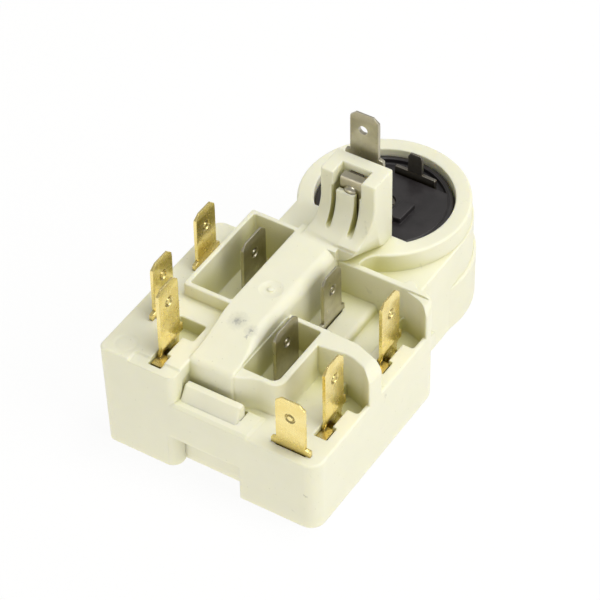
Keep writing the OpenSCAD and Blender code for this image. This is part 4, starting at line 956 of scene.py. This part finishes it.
def coil_tree():
    """Geometry nodes: a wire of given thickness wound into a coil that runs round a circle."""
    tree = bpy.data.node_groups.new("Coiled wire", "GeometryNodeTree")
    tree.interface.new_socket("Ring radius", in_out="INPUT", socket_type="NodeSocketFloat")
    tree.interface.new_socket("Coil radius", in_out="INPUT", socket_type="NodeSocketFloat")
    tree.interface.new_socket("Wire radius", in_out="INPUT", socket_type="NodeSocketFloat")
    tree.interface.new_socket("Turns", in_out="INPUT", socket_type="NodeSocketFloat")
    tree.interface.new_socket("Height", in_out="INPUT", socket_type="NodeSocketFloat")
    tree.interface.new_socket("Finish", in_out="INPUT", socket_type="NodeSocketMaterial")
    tree.interface.new_socket("Geometry", in_out="OUTPUT", socket_type="NodeSocketGeometry")
    given = add(tree, "NodeGroupInput").outputs
    steps = 26 * 14
    line = add(tree, "GeometryNodeCurvePrimitiveLine", {"Start": (0, 0, 0), "End": (1, 0, 0)})
    fine = add(tree, "GeometryNodeResampleCurve", {"Curve": line.outputs[0], "Count": steps})
    share = add(tree, "GeometryNodeSplineParameter").outputs["Factor"]
    around = add(tree, "ShaderNodeMath", {0: share, 1: math.radians(318)}, operation="MULTIPLY").outputs[0]
    winding = add(tree, "ShaderNodeMath", {0: given["Turns"], 1: 2 * math.pi}, operation="MULTIPLY").outputs[0]
    twist = add(tree, "ShaderNodeMath", {0: share, 1: winding}, operation="MULTIPLY").outputs[0]
    swing = add(tree, "ShaderNodeMath", {0: add(tree, "ShaderNodeMath", {0: twist}, operation="COSINE").outputs[0], 1: given["Coil radius"]}, operation="MULTIPLY").outputs[0]
    lift = add(tree, "ShaderNodeMath", {0: add(tree, "ShaderNodeMath", {0: twist}, operation="SINE").outputs[0], 1: given["Coil radius"]}, operation="MULTIPLY").outputs[0]
    reach = add(tree, "ShaderNodeMath", {0: given["Ring radius"], 1: swing}, operation="ADD").outputs[0]
    east = add(tree, "ShaderNodeMath", {0: add(tree, "ShaderNodeMath", {0: around}, operation="COSINE").outputs[0], 1: reach}, operation="MULTIPLY").outputs[0]
    north = add(tree, "ShaderNodeMath", {0: add(tree, "ShaderNodeMath", {0: around}, operation="SINE").outputs[0], 1: reach}, operation="MULTIPLY").outputs[0]
    up = add(tree, "ShaderNodeMath", {0: lift, 1: given["Height"]}, operation="ADD").outputs[0]
    where = add(tree, "ShaderNodeCombineXYZ", {"X": east, "Y": north, "Z": up})
    wound = add(tree, "GeometryNodeSetPosition", {"Geometry": fine.outputs[0], "Position": where.outputs[0]})
    section = add(tree, "GeometryNodeCurvePrimitiveCircle", {"Resolution": 8, "Radius": given["Wire radius"]})
    tube = add(tree, "GeometryNodeCurveToMesh", {"Curve": wound.outputs[0], "Profile Curve": section.outputs[0], "Fill Caps": True})
    real = add(tree, "GeometryNodeRealizeInstances", {"Geometry": tube.outputs[0]})
    coated = add(tree, "GeometryNodeSetMaterial", {"Geometry": real.outputs[0], "Material": given["Finish"]})
    add(tree, "NodeGroupOutput", {0: coated.outputs[0]})
    return tree


def grown(name, tree, values, place):
    """Runs a node tree once and keeps its result as a plain mesh in the row's frame."""
    made = bpy.data.objects.new(name, bpy.data.meshes.new(name))
    bpy.context.scene.collection.objects.link(made)
    step = made.modifiers.new("grow", "NODES")
    step.node_group = tree
    for label, value in values.items():
        step[socket_named(tree, label)] = value
    flatten(made)
    made.data.transform(Matrix.Translation(HOUSING_LOW) @ Matrix.Translation(Vector(place) * MM))
    made.data.name = name
    for face in made.data.polygons:
        face.use_smooth = True
    return made


def build_heater(settings):
    """The heater: a coil of resistance wire that lies round the protector's lid."""
    low, high = node_box("heater_wire")
    values = {"Ring radius": 7.6 * MM, "Coil radius": 0.62 * MM, "Wire radius": 0.15 * MM, "Turns": float(settings.heater_turns),
              "Height": 0.78 * MM, "Finish": finish_of("dark")}
    made = grown("heater_coil", coil_tree(), values, (POCKET[0], POCKET[1], low.z))
    outward(made.data)
    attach(made, "root")
    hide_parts("heater_wire")
    return made


def socket_tree():
    """Geometry nodes: a rolled spring barrel with a row of round grip beads pressed into it, open along one side."""
    tree = bpy.data.node_groups.new("Rolled pin socket", "GeometryNodeTree")
    for label in ("Bore radius", "Sheet", "Length", "Slit angle", "Bead depth", "Beads"):
        tree.interface.new_socket(label, in_out="INPUT", socket_type="NodeSocketFloat")
    tree.interface.new_socket("Finish", in_out="INPUT", socket_type="NodeSocketMaterial")
    tree.interface.new_socket("Geometry", in_out="OUTPUT", socket_type="NodeSocketGeometry")
    given = add(tree, "NodeGroupInput").outputs
    sheet = add(tree, "GeometryNodeMeshGrid", {"Size X": 1.0, "Size Y": 1.0, "Vertices X": 49, "Vertices Y": 41})
    spot = add(tree, "ShaderNodeSeparateXYZ", {0: add(tree, "GeometryNodeInputPosition").outputs[0]})
    share = add(tree, "ShaderNodeMath", {0: spot.outputs["X"], 1: 0.5}, operation="ADD").outputs[0]
    rise = add(tree, "ShaderNodeMath", {0: spot.outputs["Y"], 1: 0.5}, operation="ADD").outputs[0]
    open_angle = add(tree, "ShaderNodeMath", {0: 2 * math.pi, 1: given["Slit angle"]}, operation="SUBTRACT").outputs[0]
    turn = add(tree, "ShaderNodeMath", {0: share, 1: open_angle}, operation="MULTIPLY").outputs[0]
    start = add(tree, "ShaderNodeMath", {0: given["Slit angle"], 1: 0.5}, operation="MULTIPLY").outputs[0]
    angle = add(tree, "ShaderNodeMath", {0: add(tree, "ShaderNodeMath", {0: turn, 1: start}, operation="ADD").outputs[0], 1: math.pi / 2}, operation="ADD").outputs[0]
    wave = add(tree, "ShaderNodeMath", {0: rise, 1: add(tree, "ShaderNodeMath", {0: given["Beads"], 1: 2 * math.pi}, operation="MULTIPLY").outputs[0]}, operation="MULTIPLY").outputs[0]
    dip = add(tree, "ShaderNodeMath", {0: add(tree, "ShaderNodeMath", {0: wave}, operation="COSINE").outputs[0], 1: given["Bead depth"]}, operation="MULTIPLY").outputs[0]
    outer = add(tree, "ShaderNodeMath", {0: given["Bore radius"], 1: given["Sheet"]}, operation="ADD").outputs[0]
    reach = add(tree, "ShaderNodeMath", {0: outer, 1: dip}, operation="ADD").outputs[0]
    east = add(tree, "ShaderNodeMath", {0: add(tree, "ShaderNodeMath", {0: angle}, operation="COSINE").outputs[0], 1: reach}, operation="MULTIPLY").outputs[0]
    north = add(tree, "ShaderNodeMath", {0: add(tree, "ShaderNodeMath", {0: angle}, operation="SINE").outputs[0], 1: reach}, operation="MULTIPLY").outputs[0]
    up = add(tree, "ShaderNodeMath", {0: rise, 1: given["Length"]}, operation="MULTIPLY").outputs[0]
    rolled = add(tree, "GeometryNodeSetPosition", {"Geometry": sheet.outputs[0], "Position": add(tree, "ShaderNodeCombineXYZ", {"X": east, "Y": north, "Z": up}).outputs[0]})
    real = add(tree, "GeometryNodeRealizeInstances", {"Geometry": rolled.outputs[0]})
    coated = add(tree, "GeometryNodeSetMaterial", {"Geometry": real.outputs[0], "Material": given["Finish"]})
    add(tree, "NodeGroupOutput", {0: coated.outputs[0]})
    return tree


def build_sockets():
    """The three barrels that grip the compressor's pins, seen from below."""
    tree = socket_tree()
    for node, finish, slot in (("run_pin_socket", "bus", "bus_brass"), ("start_pin_socket", "spring", "bus_nickel"), ("common_pin_socket", "bus", "bus_brass")):
        low, high = node_box(node)
        centre = (low + high) / 2
        sheet = 0.45
        values = {"Bore radius": 1.62 * MM, "Sheet": sheet * MM, "Length": (high.z - low.z) * MM, "Slit angle": 0.5, "Bead depth": 0.16 * MM,
                  "Beads": 3.0, "Finish": finish_of(finish)}
        made = grown(node + "_barrel", tree, values, (centre.x, centre.y, low.z))
        outward(made.data)
        thick = made.modifiers.new("sheet", "SOLIDIFY")
        thick.thickness = sheet * MM
        thick.offset = 0.0
        flatten(made)
        made.data.name = made.name
        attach(made, "root")
        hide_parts(node)


# ---------------------------------------------------------------- stage


def studio_lamp(name, place, aim, size, power, colour):
    lamp = bpy.data.lights.new(name, "AREA")
    lamp.shape = "RECTANGLE"
    lamp.size, lamp.size_y = size
    lamp.energy = power
    lamp.color = linear(colour)[:3]
    made = bpy.data.objects.new(name, lamp)
    made.location = place
    made.rotation_mode = "QUATERNION"
    made.rotation_quaternion = (Vector(aim) - Vector(place)).to_track_quat("-Z", "Y")
    bpy.context.scene.collection.objects.link(made)
    return made


def build_stage(settings):
    scene = bpy.context.scene
    scene.view_settings.view_transform = "Standard"
    floor = solid("studio_floor", [[(-3000, -3000, z), (3000, -3000, z), (3000, 3000, z), (-3000, 3000, z)] for z in (-10.0, 0.0)])
    floor.data.transform(Matrix.Translation(Vector((0, 0, -0.00002))) @ Matrix.Scale(MM, 4))
    floor.data.materials.append(studio_paper("Seamless paper, white"))
    world = bpy.data.worlds.new("Studio")
    world.use_nodes = True
    tree = world.node_tree
    tree.nodes.clear()
    path = add(tree, "ShaderNodeLightPath")
    seen = add(tree, "ShaderNodeMath", {0: path.outputs["Is Camera Ray"], 1: path.outputs["Is Transmission Ray"]}, operation="MAXIMUM")
    dome = add(tree, "ShaderNodeBackground", {"Color": linear("#F4F3EE"), "Strength": 0.5})
    white = add(tree, "ShaderNodeBackground", {"Color": (1.0, 1.0, 1.0, 1.0), "Strength": 1.0})
    mixed = add(tree, "ShaderNodeMixShader", {0: seen.outputs[0], 1: dome.outputs[0], 2: white.outputs[0]})
    add(tree, "ShaderNodeOutputWorld", {"Surface": mixed.outputs[0]})
    scene.world = world
    studio_lamp("softbox_right", (0.55, 0.05, 0.42), (0, 0, 0.015), (0.45, 0.5), 2.0, "#FFFEFA")
    studio_lamp("softbox_top", (0.12, 0.12, 0.75), (0, 0, 0.015), (0.4, 0.4), 2.7, "#FFFFFF")
    studio_lamp("softbox_front", (-0.1, -0.75, 0.06), (0, 0, 0.015), (0.6, 0.2), 1.0, "#FFFCF4")
    cam = bpy.data.cameras.new("camera")
    cam.sensor_width = 36.0
    cam.lens = settings.lens
    cam.clip_start, cam.clip_end = 0.05, 20
    az, el = settings.azimuth, settings.elevation
    forward = Vector((-math.sin(az) * math.cos(el), math.cos(az) * math.cos(el), -math.sin(el)))
    level = Vector((math.cos(az), math.sin(az), 0))
    rise = level.cross(forward)
    side = math.cos(settings.roll) * level + math.sin(settings.roll) * rise
    up = -math.sin(settings.roll) * level + math.cos(settings.roll) * rise
    made = bpy.data.objects.new("camera", cam)
    place = Matrix((side, up, -forward)).transposed().to_4x4()
    place.translation = Vector(settings.eye) + HOUSING_LOW
    made.matrix_world = place
    scene.collection.objects.link(made)
    scene.camera = made


# ---------------------------------------------------------------- operators


class RELAY_OT_housing(bpy.types.Operator):
    """Build the ivory housing with its wells, ridge, tower and pocket"""
    bl_idname = "relay.housing"
    bl_label = "Housing"

    def execute(self, context):
        build_housing(context.scene.relay_housing)
        return {"FINISHED"}


class RELAY_OT_cover(bpy.types.Operator):
    """Build the bottom cover with its latch"""
    bl_idname = "relay.cover"
    bl_label = "Bottom cover"

    def execute(self, context):
        build_cover()
        return {"FINISHED"}


class RELAY_OT_blades(bpy.types.Operator):
    """Build the nine blades of the relay block"""
    bl_idname = "relay.blades"
    bl_label = "Blades"

    def execute(self, context):
        settings = context.scene.relay_terminals
        housing = context.scene.relay_housing
        ledge, floor = housing.ledge_height / MM, housing.floor_height / MM
        for name, node, finish, slot, foot, kind in (
                ("blade_rear_left", "rear_left_tab", "brass", "tab_brass", ledge, "low"),
                ("blade_middle_left", "middle_left_tab", "brass", "tab_brass", ledge, "low"),
                ("blade_front_left", "front_left_tab", "brass", "tab_brass", ledge, "tall"),
                ("blade_left_well", "left_well_tab", "nickel", "tab_nickel", floor, "wide"),
                ("blade_rear_bay", "rear_bay_tab", "nickel", "tab_nickel", floor, "low"),
                ("blade_middle_well", "middle_well_tab", "nickel", "tab_nickel", floor, "wide"),
                ("blade_rear_right", "rear_right_tab", "brass", "tab_brass", floor, "tall"),
                ("blade_middle_right", "middle_right_tab", "brass", "tab_brass", floor, "tall"),
                ("blade_front", "front_tab", "brass", "tab_brass", floor, "front")):
            build_blade(settings, name, node, finish, foot, kind)
        return {"FINISHED"}


class RELAY_OT_clip(bpy.types.Operator):
    """Build the spring clip in the tower"""
    bl_idname = "relay.clip"
    bl_label = "Tower clip"

    def execute(self, context):
        build_clip()
        return {"FINISHED"}


class RELAY_OT_protector(bpy.types.Operator):
    """Build the overload protector's case, blades and heater"""
    bl_idname = "relay.protector"
    bl_label = "Protector"

    def execute(self, context):
        build_protector(context.scene.relay_protector)
        build_line_blade(context.scene.relay_terminals)
        build_rear_blade(context.scene.relay_terminals)
        build_heater(context.scene.relay_protector)
        return {"FINISHED"}


class RELAY_OT_sockets(bpy.types.Operator):
    """Build the rolled barrels that grip the compressor's pins"""
    bl_idname = "relay.sockets"
    bl_label = "Pin sockets"

    def execute(self, context):
        build_sockets()
        return {"FINISHED"}


class RELAY_OT_inner(bpy.types.Operator):
    """Give the inner solids their finishes"""
    bl_idname = "relay.inner"
    bl_label = "Inner pieces"

    def execute(self, context):
        # the tower link takes the dark finish as painted shade for the dark recess above the clip
        finishes = {
            "left_bus_bar": "bus", "right_bus_bar": "bus", "tower_link": "dark", "middle_bus_bar": "spring", "ptc_pill": "ceramic",
            "left_pill_spring": "spring", "right_pill_spring": "spring", "protector_base": "phenolic", "bimetal_disc": "spring",
            "calibration_screw": "dark", "line_contact": "silver", "heater_contact": "silver", "disc_contacts": "silver"}
        for node, finish in finishes.items():
            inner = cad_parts[node]
            inner.data.materials.clear()
            inner.data.materials.append(finish_of(finish))
        return {"FINISHED"}


class RELAY_OT_stage(bpy.types.Operator):
    """Set the pale floor, the soft lamps and the camera"""
    bl_idname = "relay.stage"
    bl_label = "Stage"

    def execute(self, context):
        build_stage(context.scene.relay_stage)
        return {"FINISHED"}


STEPS = ("housing", "cover", "blades", "clip", "protector", "sockets", "inner", "stage")
GROUPS = (("relay_housing", RelayHousingSettings), ("relay_terminals", RelayTerminalSettings),
          ("relay_protector", RelayProtectorSettings), ("relay_stage", RelayStageSettings))


class RELAY_PT_panel(bpy.types.Panel):
    """Sizes and build steps of the start relay"""
    bl_idname = "RELAY_PT_panel"
    bl_label = "Start relay"
    bl_space_type = "VIEW_3D"
    bl_region_type = "UI"
    bl_category = "Start relay"

    def draw(self, context):
        for step in STEPS:
            self.layout.operator("relay." + step)
        for group, kind in GROUPS:
            settings = getattr(context.scene, group)
            part = self.layout.box()
            for name in kind.__annotations__:
                part.prop(settings, name)


CLASSES = (RelayHousingSettings, RelayTerminalSettings, RelayProtectorSettings, RelayStageSettings,
           RELAY_OT_housing, RELAY_OT_cover, RELAY_OT_blades, RELAY_OT_clip, RELAY_OT_protector, RELAY_OT_sockets,
           RELAY_OT_inner, RELAY_OT_stage, RELAY_PT_panel)


def register():
    for made in CLASSES:
        bpy.utils.register_class(made)
    for group, kind in GROUPS:
        setattr(bpy.types.Scene, group, bpy.props.PointerProperty(type=kind))


def unregister():
    for group, kind in GROUPS:
        delattr(bpy.types.Scene, group)
    for made in reversed(CLASSES):
        bpy.utils.unregister_class(made)


def main():
    register()
    for step in STEPS:
        getattr(bpy.ops.relay, step)()


if __name__ == "__main__":
    main()
